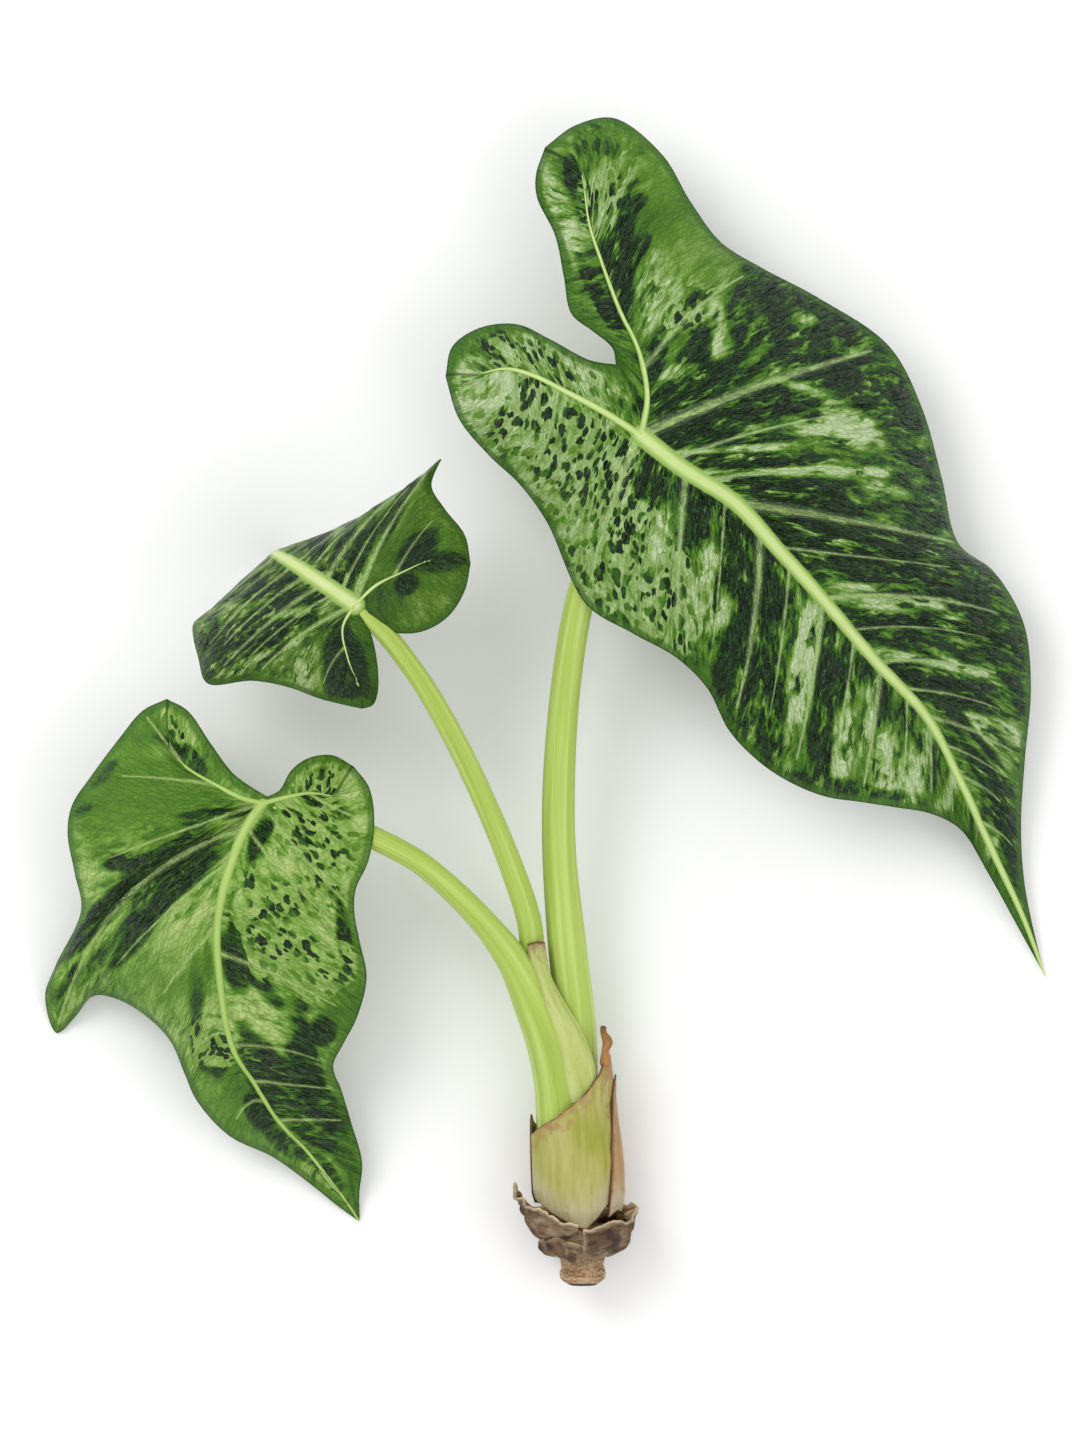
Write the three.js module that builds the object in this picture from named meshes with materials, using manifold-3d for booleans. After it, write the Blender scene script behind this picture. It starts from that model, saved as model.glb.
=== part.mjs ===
// A young alocasia with its bulb: three leaves on stalks that rise from a sheathed neck above a scaly corm.
// It lies on its back on the surface z = 0. +Y runs from the corm to the leaf tops, +Z faces out of the blades.
// Every size is in millimetres.
import * as THREE from "three";
import { mergeVertices } from "three/addons/utils/BufferGeometryUtils.js";
import Module from "manifold-3d";

const manifold = await Module();
manifold.setup();
const { Manifold, Mesh } = manifold;

const GAP = 0.3; // clearance between pieces that touch in the plant
const BLADE = 0.8; // thickness of a leaf blade between its veins
const RIB = 2.0; // how much further the ribs stand out behind a blade at the stalk
const SHEATH = 1.1; // thickness of a papery sheath or a dry scale

// ---- shapes shared by the pieces ----

const curve = (points) =>
  new THREE.CatmullRomCurve3(points.map((p) => new THREE.Vector3(...p)));

// The value at `x` of a line through [x, value] pairs.
function along(pairs, x) {
  let k = 1;
  while (k < pairs.length - 1 && x > pairs[k][0]) k++;
  const [x0, v0] = pairs[k - 1];
  const [x1, v1] = pairs[k];
  const t = THREE.MathUtils.clamp((x - x0) / (x1 - x0), 0, 1);
  return THREE.MathUtils.lerp(v0, v1, t);
}

// The triangles of a grid of points; point(i, j) gives [Vector3, thickness there].
function gridSheet(rows, columns, point, flip) {
  const corners = [];
  for (let i = 0; i < rows; i++)
    for (let j = 0; j < columns; j++) {
      const quad = [point(i, j), point(i + 1, j), point(i + 1, j + 1), point(i, j + 1)];
      const order = flip ? [0, 2, 1, 0, 3, 2] : [0, 1, 2, 0, 2, 3];
      for (const k of order) corners.push(quad[k]);
    }
  return corners;
}

// A closed solid under a sheet of triangles: the sheet, its copy pushed back along the normals, and the rim.
function thicken(corners, grow = 0) {
  const sheet = new THREE.BufferGeometry();
  const flat = corners.flatMap(([p]) => [p.x, p.y, p.z]);
  sheet.setAttribute("position", new THREE.Float32BufferAttribute(flat, 3));
  const top = mergeVertices(sheet, 0.01);
  const index = [];
  for (let i = 0; i < top.index.count; i += 3) {
    const [a, b, c] = [0, 1, 2].map((k) => top.index.getX(i + k));
    if (a !== b && b !== c && c !== a) index.push(a, b, c);
  }
  const depth = [];
  corners.forEach(([, thick], i) => (depth[top.index.getX(i)] = thick));
  top.setIndex(index);
  top.computeVertexNormals();

  const count = top.attributes.position.count;
  const vertices = new Float32Array(count * 6);
  const p = new THREE.Vector3();
  const n = new THREE.Vector3();
  for (let i = 0; i < count; i++) {
    p.fromBufferAttribute(top.attributes.position, i);
    n.fromBufferAttribute(top.attributes.normal, i);
    p.clone().addScaledVector(n, grow).toArray(vertices, i * 3);
    p.addScaledVector(n, -depth[i] - grow);
    p.z = Math.max(p.z, 0);
    p.toArray(vertices, (count + i) * 3);
  }
  const edges = new Set();
  for (let i = 0; i < index.length; i += 3)
    for (const k of [0, 1, 2]) edges.add(`${index[i + k]} ${index[i + ((k + 1) % 3)]}`);
  const faces = [...index];
  for (let i = 0; i < index.length; i += 3) {
    faces.push(index[i] + count, index[i + 2] + count, index[i + 1] + count);
    for (const k of [0, 1, 2]) {
      const a = index[i + k];
      const b = index[i + ((k + 1) % 3)];
      if (edges.has(`${b} ${a}`)) continue;
      faces.push(b, a, a + count, b, a + count, b + count);
    }
  }
  const mesh = new Mesh({ numProp: 3, vertProperties: vertices, triVerts: new Uint32Array(faces) });
  return new Manifold(mesh);
}

// A round stalk of elliptic section: each station is [x, y, z, half width, half depth].
function stalk(stations, rings, sides, grow = 0) {
  const path = curve(stations.map((s) => s.slice(0, 3)));
  const size = curve(stations.map((s) => [s[3], s[4], 0]));
  const vertices = [];
  for (let i = 0; i <= rings; i++) {
    const centre = path.getPoint(i / rings);
    const half = size.getPoint(i / rings);
    const ahead = path.getTangent(i / rings);
    const across = new THREE.Vector3(0, 0, 1).cross(ahead).normalize();
    const up = ahead.clone().cross(across);
    for (let j = 0; j < sides; j++) {
      const turn = (2 * Math.PI * j) / sides;
      const p = centre.clone();
      p.addScaledVector(across, (half.x + grow) * Math.cos(turn));
      p.addScaledVector(up, (half.y + grow) * Math.sin(turn));
      vertices.push(p.x, p.y, p.z);
    }
  }
  const faces = [];
  for (let i = 0; i < rings; i++)
    for (let j = 0; j < sides; j++) {
      const a = i * sides + j;
      const b = i * sides + ((j + 1) % sides);
      faces.push(a, b, b + sides, a, b + sides, a + sides);
    }
  const last = rings * sides;
  for (let j = 1; j < sides - 1; j++) faces.push(0, j + 1, j, last, last + j, last + j + 1);
  const mesh = { numProp: 3, vertProperties: new Float32Array(vertices), triVerts: new Uint32Array(faces) };
  return new Manifold(new Mesh(mesh));
}

// A curved sheath round the neck. `ring` gives its section at a height: [y, x, z, half width, half depth].
// `top` and `bottom` are its edges as [angle in degrees, y] pairs; 90 degrees faces up, 0 degrees right.
function wrap({ ring, top, bottom, thick = SHEATH }, columns, rows, grow = 0) {
  const [from, to] = [top[0][0], top.at(-1)[0]];
  const point = (i, j) => {
    const angle = THREE.MathUtils.lerp(from, to, i / columns);
    const y = THREE.MathUtils.lerp(along(bottom, angle), along(top, angle), j / rows);
    const section = [1, 2, 3, 4].map((k) => along(ring.map((r) => [r[0], r[k]]), y));
    const turn = THREE.MathUtils.degToRad(angle);
    const x = section[0] + section[2] * Math.cos(turn);
    const z = Math.max(0, section[1] + section[3] * Math.sin(turn));
    return [new THREE.Vector3(x, y, z), thick];
  };
  return thicken(gridSheet(columns, rows, point, true), grow);
}

// The largest body that is left of a solid when its neighbours are cut out of it.
function cutBy(solid, ...others) {
  for (const other of others) solid = solid.subtract(other);
  return solid.decompose().sort((a, b) => b.volume() - a.volume())[0];
}

// ---- leaf blades ----
// A blade has a midrib and two lobe ribs, all starting where the stalk joins it, and lateral veins.
// A vein is [place on the rib, its middle, its end on the margin]. The place runs 0 to 1 from the stalk to
// the end of the rib; an outer vein with a negative place leaves the lobe rib, with a positive one the midrib.

// The places of the veins of two strips that share a rib, each once, with `between` more in every gap.
function placesOf(strips, between) {
  const own = [...new Set(strips.flat().map((vein) => Math.abs(vein[0])))].sort((a, b) => a - b);
  const split = (start, k) =>
    Array.from({ length: between + 1 }, (_, i) =>
      THREE.MathUtils.lerp(start, own[k + 1], i / (between + 1)),
    );
  return [...own.slice(0, -1).flatMap(split), own.at(-1)];
}

// The sheet between a rib and the margin along `stops`, which are places on the rib.
function strip(ribAt, veins, stops, across, flip) {
  const middles = curve(veins.map((v) => v[1]));
  const ends = curve(veins.map((v) => v[2]));
  const order = veins.map((v, k) => [v[0], k / (veins.length - 1)]);
  const point = (i, j) => {
    const v = j / across;
    const k = along(order, stops[i]);
    const p = ribAt(stops[i]).multiplyScalar((1 - v) * (1 - 2 * v));
    p.addScaledVector(middles.getPoint(k), 4 * v * (1 - v));
    p.addScaledVector(ends.getPoint(k), v * (2 * v - 1));
    const rise = RIB * (1 - Math.abs(stops[i])) * Math.max(0, 1 - v * across);
    return [p, BLADE + rise];
  };
  return gridSheet(stops.length - 1, across, point, flip);
}

function blade(leaf, between, across, grow = 0) {
  const midrib = curve(leaf.midrib);
  const onMidrib = (side) => side.outer.filter((vein) => vein[0] >= 0);
  const midribStops = placesOf([onMidrib(leaf.right), onMidrib(leaf.left)], between);
  const corners = [leaf.right, leaf.left].flatMap((side, k) => {
    const lobeRib = curve(side.rib);
    const onLobe = side.outer.filter((vein) => vein[0] <= 0);
    const lobeStops = placesOf([onLobe, side.inner], between);
    const outerStops = [...lobeStops.slice(1).reverse().map((place) => -place), ...midribStops];
    const ribAt = (place) => (place < 0 ? lobeRib.getPoint(-place) : midrib.getPoint(place));
    const lobeAt = (place) => lobeRib.getPoint(place);
    return [
      ...strip(ribAt, side.outer, outerStops, across, k === 1),
      ...strip(lobeAt, side.inner, lobeStops, across, k === 1),
    ];
  });
  return thicken(corners, grow);
}

// The large arrow-shaped leaf. Its blade arches over its stalk and its tip hangs to the surface.
const BIG_TIP = [150.5, -83, 0.8];
const bigLeaf = {
  midrib: [
    [28, 79, 58], [40, 69.5, 60], [56, 59, 61], [68, 46, 60], [82, 30.5, 56], [98, 12, 48],
    [113, -4, 38], [123, -22, 27], [134, -45, 14], [144, -66, 5], BIG_TIP,
  ],
  right: {
    rib: [[28, 79, 58], [30, 90, 56], [27.5, 104, 52], [22, 116, 48], [16.5, 131, 43], [13, 142, 40], [11, 157, 35]],
    outer: [
      [-1, [6, 162, 31], [-0.3, 165.8, 27]],
      [-0.92, [11.5, 165, 31.5], [8.7, 172.4, 26]],
      [-0.82, [18, 163, 34], [20.4, 174.5, 27]],
      [-0.7, [25.5, 154, 36.5], [34.8, 163.4, 29]],
      [-0.56, [31, 142, 40], [43.2, 149.3, 31]],
      [-0.42, [37, 129, 44], [52.2, 137.3, 31]],
      [-0.27, [45, 117, 48], [64.2, 129.8, 30]],
      [-0.13, [54, 106, 50], [81, 121, 28]],
      [0, [64, 94, 51], [102.5, 106.5, 25]],
      [0.08, [74, 83, 52], [112.5, 88, 22]],
      [0.14, [84, 69, 52], [118.5, 67, 20]],
      [0.2, [92, 53.5, 50], [123.5, 47.5, 20]],
      [0.3, [104, 42, 46], [134, 39.2, 19]],
      [0.4, [113, 31, 42], [143, 24, 17]],
      [0.5, [122, 11.5, 35], [145.4, 5, 14]],
      [0.6, [128.5, -9, 27.5], [143.7, -17.3, 11]],
      [0.7, [133, -27, 19.5], [142.7, -37, 7.5]],
      [0.8, [139, -48, 10], [143.8, -54, 5]],
      [0.9, [145.5, -67.5, 4], [147, -70, 3]],
      [1, BIG_TIP, BIG_TIP],
    ],
    inner: [
      [0, [25.5, 90, 57], [20.7, 100.1, 54]],
      [0.2, [24, 99, 54.5], [19.7, 105, 52]],
      [0.38, [20, 109, 51], [14, 110, 49]],
      [0.5, [15, 116, 47.5], [7.5, 115.5, 45]],
      [0.65, [11, 128, 43], [5.2, 127, 41]],
      [0.8, [8.3, 139.5, 39.5], [2.7, 139, 37]],
      [0.9, [5, 149, 36.5], [-2.7, 150.5, 33.5]],
      [0.95, [4, 155.5, 34], [-3, 157.5, 30.5]],
      [1, [6, 162, 31], [-0.3, 165.8, 27]],
    ],
  },
  left: {
    rib: [[28, 79, 58], [17, 86, 57], [6, 92, 54], [-4, 97, 50], [-12, 99, 46], [-20, 97.5, 41]],
    outer: [
      [-1, [-25, 97.3, 38], [-30, 97.1, 34]],
      [-0.85, [-20, 90, 41], [-26, 84.5, 35]],
      [-0.65, [-9, 83, 46], [-17, 73.5, 36]],
      [-0.45, [0, 77, 49.5], [-8, 65, 38]],
      [-0.22, [10, 69, 53], [0, 54, 41]],
      [0, [18, 54, 55], [12, 29, 45]],
      [0.06, [28, 47, 57], [26, 20.3, 46]],
      [0.11, [39.5, 43, 58], [39, 13, 45]],
      [0.18, [51, 32, 57], [48, 4, 43]],
      [0.26, [61, 19, 54], [54.5, -8.5, 40]],
      [0.33, [69, 11, 51], [63.5, -17.8, 37]],
      [0.4, [78.5, 2.5, 48], [73, -24, 34]],
      [0.46, [88, -5, 44], [83.5, -28.2, 31]],
      [0.51, [97, -11, 40], [94, -29.8, 28.5]],
      [0.56, [107, -15.5, 36], [105, -31.5, 26.5]],
      [0.61, [115, -19.5, 32], [115, -33.3, 24]],
      [0.7, [123, -30.5, 23.5], [124, -38, 19.5]],
      [0.8, [133, -48.5, 12.5], [132.5, -51, 11]],
      [0.9, [143, -67.5, 4.6], [142, -67.8, 4.2]],
      [1, BIG_TIP, BIG_TIP],
    ],
    inner: [
      [0, [25.5, 90, 57], [20.7, 100.1, 54]],
      [0.2, [15.5, 94, 54.5], [13, 101.5, 51]],
      [0.4, [2, 101, 50], [1, 108, 45]],
      [0.6, [-7, 105, 45], [-9, 112.6, 39]],
      [0.8, [-16.5, 105, 41], [-20, 111.5, 35.5]],
      [0.92, [-23.5, 101.5, 38], [-28, 106, 34]],
      [1, [-25, 97.3, 38], [-30, 97.1, 34]],
    ],
  },
};

// The leaf at the upper left. Its blade bends over a crest and hangs behind it down to the surface.
const MIDDLE_TIP = [-75, 39, 0.2];
const middleLeaf = {
  midrib: [
    [-56.4, 28.6, 74], [-65.5, 34.8, 72.5], [-74.5, 40.8, 66], [-79.8, 43.9, 54], [-80.5, 44.2, 38],
    [-78, 42, 20], MIDDLE_TIP,
  ],
  right: {
    rib: [[-56.4, 28.6, 74], [-50, 34.5, 74], [-42, 38.5, 72], [-33, 43, 68]],
    outer: [
      [-1, [-28, 42, 66], [-22.3, 41, 62]],
      [-0.8, [-31.5, 46.5, 67], [-24, 49.4, 61.5]],
      [-0.55, [-37.5, 49, 68], [-29.8, 57, 60]],
      [-0.25, [-42, 50.5, 68.5], [-33.9, 64, 58]],
      [0, [-45.5, 53, 67.5], [-31.2, 72.2, 53]],
      [0.17, [-52, 54.5, 65], [-37, 66, 49]],
      [0.33, [-60.5, 51.5, 58], [-45, 59.5, 42]],
      [0.5, [-68, 49, 45], [-54, 53.5, 32]],
      [0.67, [-72, 47, 31], [-62, 48.5, 20]],
      [0.83, [-75, 43.5, 16], [-70, 43, 9]],
      [1, MIDDLE_TIP, MIDDLE_TIP],
    ],
    inner: [
      [0, [-54.8, 26, 73], [-52.5, 23, 70]],
      [0.3, [-50, 27, 72], [-46, 20.6, 68]],
      [0.55, [-42, 29.5, 71], [-37, 20.7, 66]],
      [0.75, [-36, 33.5, 69], [-29, 25.2, 64]],
      [0.9, [-31, 37.5, 67], [-24, 33, 62.5]],
      [1, [-28, 42, 66], [-22.3, 41, 62]],
    ],
  },
  left: {
    rib: [[-56.4, 28.6, 74], [-60, 22, 73], [-58.5, 13, 71], [-55, 5, 67]],
    outer: [
      [-1, [-54.7, 1.5, 65.3], [-54.5, -2, 63]],
      [-0.8, [-59.5, 6, 67], [-60, -0.8, 62]],
      [-0.55, [-64, 10, 68.5], [-67, 1, 61]],
      [-0.25, [-69, 14, 69], [-76, 4.3, 58]],
      [0, [-74, 18.5, 68], [-87, 6.3, 54]],
      [0.17, [-83, 22.5, 65], [-100.5, 5.5, 47]],
      [0.33, [-90.5, 27.5, 58], [-103.5, 13, 41]],
      [0.42, [-93, 30.5, 52], [-105.3, 23, 35]],
      [0.5, [-92, 34, 45], [-102, 26, 29]],
      [0.67, [-88, 37.5, 31], [-94, 31, 19]],
      [0.83, [-82, 39.5, 16], [-85, 36.5, 9]],
      [1, MIDDLE_TIP, MIDDLE_TIP],
    ],
    inner: [
      [0, [-54.8, 26, 73], [-52.5, 23, 70]],
      [0.33, [-55.5, 20.5, 72], [-50.8, 17, 69]],
      [0.66, [-54, 12, 70], [-49.6, 9, 67]],
      [0.85, [-53, 6.5, 68], [-49.8, 2.5, 65]],
      [0.93, [-53.5, 3.5, 66.7], [-51.3, -1, 63.7]],
      [1, [-54.7, 1.5, 65.3], [-54.5, -2, 63]],
    ],
  },
};

// The leaf at the lower left, broad on its left side. A corner and the tip hang to the surface.
const LOWER_TIP = [-56.1, -156.2, 0.8];
const lowerLeaf = {
  midrib: [
    [-84, -30, 56], [-88.8, -36.8, 57.5], [-94.8, -52.7, 57], [-97.5, -66.5, 53], [-96.9, -82.4, 46],
    [-93.6, -102.5, 34], [-87.6, -113, 27], [-80.1, -125.3, 19], [-71.7, -134.3, 12.5],
    [-60.6, -149.3, 3.5], LOWER_TIP,
  ],
  right: {
    rib: [[-84, -30, 56], [-77, -28.2, 56], [-70, -27, 54.5], [-63, -28, 52]],
    outer: [
      [-1, [-60, -23.5, 49.8], [-57, -19.2, 47]],
      [-0.85, [-59, -27.3, 50], [-52.5, -25.5, 46.5]],
      [-0.65, [-60.5, -32.5, 51], [-51, -36, 47]],
      [-0.45, [-63.5, -38, 52], [-52.8, -47.3, 47]],
      [-0.2, [-67, -43, 53], [-56.5, -55.5, 46]],
      [0, [-70.5, -47.5, 53.5], [-57, -62, 45]],
      [0.1, [-74, -55, 53.5], [-55.5, -70.7, 43.5]],
      [0.25, [-77, -68, 51], [-53.4, -82, 40]],
      [0.35, [-78.5, -82, 45.5], [-56.4, -94.1, 35]],
      [0.43, [-79, -92.5, 40], [-60.5, -102, 30]],
      [0.5, [-79, -103.5, 34], [-63.6, -108.8, 26]],
      [0.6, [-74.5, -114.5, 26], [-61.2, -116, 21.5]],
      [0.7, [-69, -125, 18.5], [-58.5, -125.5, 16]],
      [0.8, [-63, -135.5, 11.5], [-55.2, -138, 9.5]],
      [0.9, [-58.5, -147, 4.5], [-56.1, -147.5, 4]],
      [1, LOWER_TIP, LOWER_TIP],
    ],
    inner: [
      [0, [-83.2, -29, 56], [-82.5, -28, 56]],
      [0.25, [-78.7, -27.3, 56], [-78.9, -26, 56]],
      [0.45, [-75, -24.5, 55], [-75.6, -20.3, 54]],
      [0.65, [-70.5, -22, 53.5], [-70.5, -16.6, 51.5]],
      [0.85, [-65, -21.7, 51.5], [-63.3, -15.8, 48.5]],
      [1, [-60, -23.5, 49.8], [-57, -19.2, 47]],
    ],
  },
  left: {
    rib: [[-84, -30, 56], [-90, -28.5, 56], [-98, -24.5, 54], [-106.5, -19.5, 50], [-112, -14, 46]],
    outer: [
      [-1, [-113, -6, 42], [-113, 1, 38]],
      [-0.85, [-115, -9.5, 42], [-120.3, -2.6, 36]],
      [-0.7, [-116, -15.5, 43], [-127.2, -10.7, 34]],
      [-0.5, [-116, -22.5, 45], [-135.6, -21.8, 31]],
      [-0.3, [-116, -28, 46], [-141.6, -30.8, 28]],
      [-0.15, [-116, -34, 46.5], [-143, -39, 26]],
      [0, [-116, -41, 46], [-141, -51, 23]],
      [0.04, [-116, -47.5, 44], [-139.2, -62, 19]],
      [0.07, [-121, -54, 37.5], [-147.5, -79.5, 8]],
      [0.085, [-124, -57, 35.5], [-150.6, -88.5, 4]],
      [0.1, [-126.5, -60, 33], [-147.3, -99.5, 0.8]],
      [0.125, [-122, -65, 36], [-141.5, -94.5, 4]],
      [0.16, [-117.5, -67, 40], [-136, -88.2, 9]],
      [0.22, [-113.5, -71, 43], [-128, -89.2, 15]],
      [0.3, [-108.5, -79, 42.5], [-118.8, -94.7, 20]],
      [0.4, [-105, -91, 37.5], [-112.2, -101.6, 23]],
      [0.48, [-102, -101, 33], [-108, -111.5, 22]],
      [0.55, [-97.5, -111.5, 28], [-104.5, -119.5, 18]],
      [0.65, [-90, -121, 22.5], [-95, -130, 13.5]],
      [0.75, [-79.5, -131.5, 15], [-82, -136.5, 10]],
      [0.85, [-69, -140, 8.5], [-70.5, -145, 5.5]],
      [0.93, [-62, -149.5, 3.6], [-62.5, -151.6, 2.5]],
      [1, LOWER_TIP, LOWER_TIP],
    ],
    inner: [
      [0, [-83.2, -29, 56], [-82.5, -28, 56]],
      [0.15, [-86.5, -27.7, 56], [-86, -26, 55.5]],
      [0.4, [-93.2, -24, 54.5], [-92.7, -21.2, 53.5]],
      [0.65, [-100.5, -17, 51], [-99.6, -12.2, 49]],
      [0.85, [-107.5, -10.5, 46], [-106.5, -2.6, 43]],
      [1, [-113, -6, 42], [-113, 1, 38]],
    ],
  },
};

// ---- stalks and sheaths ----

// The thickest stalk. Its foot is the core of the neck.
const bigStalk = [
  [10, -147, 15, 5, 5], [10, -120, 16.5, 5.6, 5.2], [9, -97, 19, 6, 5.6], [6.3, -72.5, 22.5, 5.8, 5.3],
  [3.9, -45, 26, 5.1, 4.8], [3.8, -24.5, 29, 4.9, 4.6], [5.7, 3, 33.5, 4.5, 4.2], [9.5, 27.7, 38.5, 4.3, 4],
  [16, 50, 44.5, 4.1, 3.8], [22.5, 67, 51, 3.9, 3.7], [27.5, 78, 57.5, 3.7, 3.6],
];

// The stalk of the upper left leaf, behind the others at its foot.
const middleStalk = [
  [2, -108, 10, 3.4, 3], [-1, -95, 14.5, 3.6, 3.3], [-3.6, -80, 21, 3.7, 3.5], [-5, -65.6, 27.5, 3.7, 3.6],
  [-10.5, -48.5, 35.5, 3.6, 3.5], [-17.4, -31.4, 43, 3.4, 3.3], [-25.8, -13.4, 51, 3.3, 3.2],
  [-36, 4.7, 59, 3.1, 3], [-46.5, 19, 66, 3, 2.9], [-53, 25.5, 70.5, 2.9, 2.8], [-56.4, 28.8, 74, 2.8, 2.7],
];

// The stalk of the lower left leaf. It widens into the broad green sheath that clasps the others.
const lowerStalk = [
  [10, -152, 15, 6, 8], [8.8, -146, 15, 8.5, 10], [7.5, -136, 15, 9.3, 11], [5.9, -126, 15.5, 8.8, 11],
  [4.5, -114, 16.8, 8.1, 10.2], [1.6, -102, 19.2, 7.5, 8.8], [-3, -90, 22.5, 6.8, 6.6],
  [-9.3, -78, 26.5, 5, 4.4], [-17.4, -67, 30.5, 4, 3.7], [-27.9, -56, 35, 3.6, 3.4],
  [-38, -47.5, 39, 3.4, 3.3], [-50.7, -40.6, 43.3, 3.4, 3.2], [-62, -35.5, 47, 3.2, 3.1],
  [-74, -32, 51, 3, 2.9], [-83, -30.5, 55.5, 2.9, 2.8],
];

// The withered leaf sheath that stands between the stalks, with a blunt dry end.
const innerCataphyll = [
  [11, -120, 24.5, 5.4, 2], [9, -108, 25.6, 5.2, 2.2], [6, -99, 26, 4.4, 2.2], [2, -90, 27, 3.2, 2],
  [-0.8, -82, 28, 2.3, 1.7], [-2.4, -76, 28.6, 2.7, 1.4], [-3, -71.6, 29, 2.6, 1],
];

// The papery sheath round the front of the neck. Its upper edge climbs to a twisted dry tip on the right.
const outerCataphyll = {
  ring: [
    [-158, 10.5, 15, 8.5, 10.5], [-152, 9.5, 15, 11.3, 12.3], [-146, 9.2, 15, 12.4, 13],
    [-138, 9.1, 15, 12.6, 13.1], [-130, 8.4, 15.3, 12.2, 12.9], [-120, 8.2, 16, 11.1, 12.4],
    [-112, 9.2, 17.5, 10.4, 10.8], [-105, 10.3, 18, 8.4, 9.5],
  ],
  top: [
    [12, -106], [24, -105], [36, -106.5], [48, -110], [62, -113.8], [78, -117.8], [95, -120.8],
    [118, -124.5], [150, -127.8], [180, -130.5], [190, -133],
  ],
  bottom: [[12, -145], [35, -148], [60, -154], [80, -157.3], [95, -156.8], [120, -154], [150, -150], [190, -147]],
};
const twistedTip = [
  [17.6, -107.5, 23.5, 1.7, 1.5], [17.7, -104, 24.2, 1.1, 1], [18.2, -101.5, 24.6, 1.5, 0.7],
  [17.2, -99, 25, 0.9, 0.7], [17, -96.7, 25.3, 0.8, 0.7],
];

// The older tan sheath whose edge shows on the right of the neck.
const rightSheath = {
  ring: [
    [-155, 9.6, 15, 12.7, 13.4], [-147, 9.2, 15, 14.4, 14.4], [-138, 9.2, 15, 14, 14.4],
    [-128, 8.8, 15.2, 12.9, 14], [-118, 8.6, 16, 11.9, 13.4], [-112, 9.2, 17, 11.3, 12.4],
  ],
  top: [[-75, -135], [-50, -124], [-20, -115], [0, -111.5], [14, -113], [26, -120], [38, -132], [46, -146]],
  bottom: [[-75, -151], [0, -153], [30, -152], [46, -154]],
};

// The oldest sheath, behind the neck, with a dry brown edge on the left.
const backSheath = {
  ring: [
    [-155, 9.5, 15, 12, 13.6], [-147, 9.2, 15, 13.8, 14.4], [-138, 9, 15, 13.8, 14.5],
    [-130, 8.6, 15.3, 13.6, 14.3], [-122, 8.4, 16, 13, 14],
  ],
  top: [[172, -131], [178, -125], [186, -123.5], [200, -126], [225, -128], [255, -130], [280, -133]],
  bottom: [[172, -134], [178, -145], [190, -150], [280, -151]],
};

// ---- the bulb ----

// The corm: a stout body on a short neck that ends in a dark basal plate. Each profile point is [radius, y].
const cormCentre = [10.9, 15.2];
const cormProfile = [
  [0, -174.8], [3.2, -174.8], [4.8, -174.2], [6.6, -172.8], [7, -171.3], [6.4, -169], [6.8, -166.5],
  [8.6, -163.5], [9.4, -159.8], [7.4, -156.5], [0, -156.3],
];

function turned(profile, [x, z], sides, grow = 0) {
  const outline = profile.map(([radius, y]) => new THREE.Vector2(radius ? radius + grow : 0, y));
  const geometry = new THREE.LatheGeometry(outline, sides).translate(x, 0, z);
  geometry.deleteAttribute("uv");
  geometry.deleteAttribute("normal");
  const body = mergeVertices(geometry, 0.001);
  const mesh = { numProp: 3, vertProperties: body.attributes.position.array };
  return new Manifold(new Mesh({ ...mesh, triVerts: new Uint32Array(body.index.array) }));
}

// The dry tunic scales. Each is a curled band round the corm; the lowest faces are pressed flat by the surface.
const leftScale = {
  ring: [
    [-162, 10.4, 15, 13, 13.5], [-158, 10, 15, 14, 15], [-153, 9.4, 15, 14.2, 16],
    [-149, 9.4, 15, 15.4, 16], [-143, 9.4, 15, 16.8, 15],
  ],
  top: [
    [92, -156.8], [108, -154.7], [126, -152], [145, -149.4], [160, -147.6], [170, -145.2], [178, -143.6],
    [188, -145.5], [200, -149], [225, -151], [262, -152],
  ],
  bottom: [[92, -158.2], [110, -159.3], [130, -160.2], [150, -160.6], [175, -158.5], [200, -160], [262, -162]],
};
const rightScale = {
  ring: [
    [-168, 10.4, 15, 9.2, 9.4], [-164, 10.8, 15, 11.8, 12.4], [-160, 10.8, 15, 12.8, 15],
    [-155, 10.6, 15, 14.2, 16], [-150, 10.2, 15, 14.6, 16],
  ],
  top: [
    [-95, -152], [-60, -151], [-20, -150.5], [0, -150.8], [12, -151.8], [30, -153.4], [50, -154.6],
    [68, -155.4], [88, -157.2],
  ],
  bottom: [[-95, -162], [-40, -164], [-10, -165], [15, -164.3], [38, -163], [60, -163.4], [76, -165], [88, -164]],
};
const leftLowerScale = {
  ring: [[-168, 10.6, 15, 8, 8.6], [-164, 10.4, 15, 10.2, 10.6], [-160, 10.2, 15, 11.6, 12]],
  top: [[118, -160.5], [140, -161], [165, -161.5], [185, -161], [215, -161.5]],
  bottom: [[118, -167], [140, -165], [160, -164.3], [172, -165.3], [215, -164.5]],
};
const frontScale = {
  ring: [[-169, 11, 15, 8.2, 8.3], [-165, 10.8, 15, 9.6, 10.4], [-161, 10.6, 15, 10.9, 12]],
  top: [[52, -163.8], [75, -164.6], [95, -162.5], [114, -161.5]],
  bottom: [[52, -165], [75, -166.6], [97, -168.6], [114, -166.5]],
};

// ---- assembly: each piece is cut clear of the ones inside it ----

function cutClear(build, ...insiders) {
  return cutBy(build(0), ...insiders.flatMap((inside) => [inside(GAP), inside(0)]));
}

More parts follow.
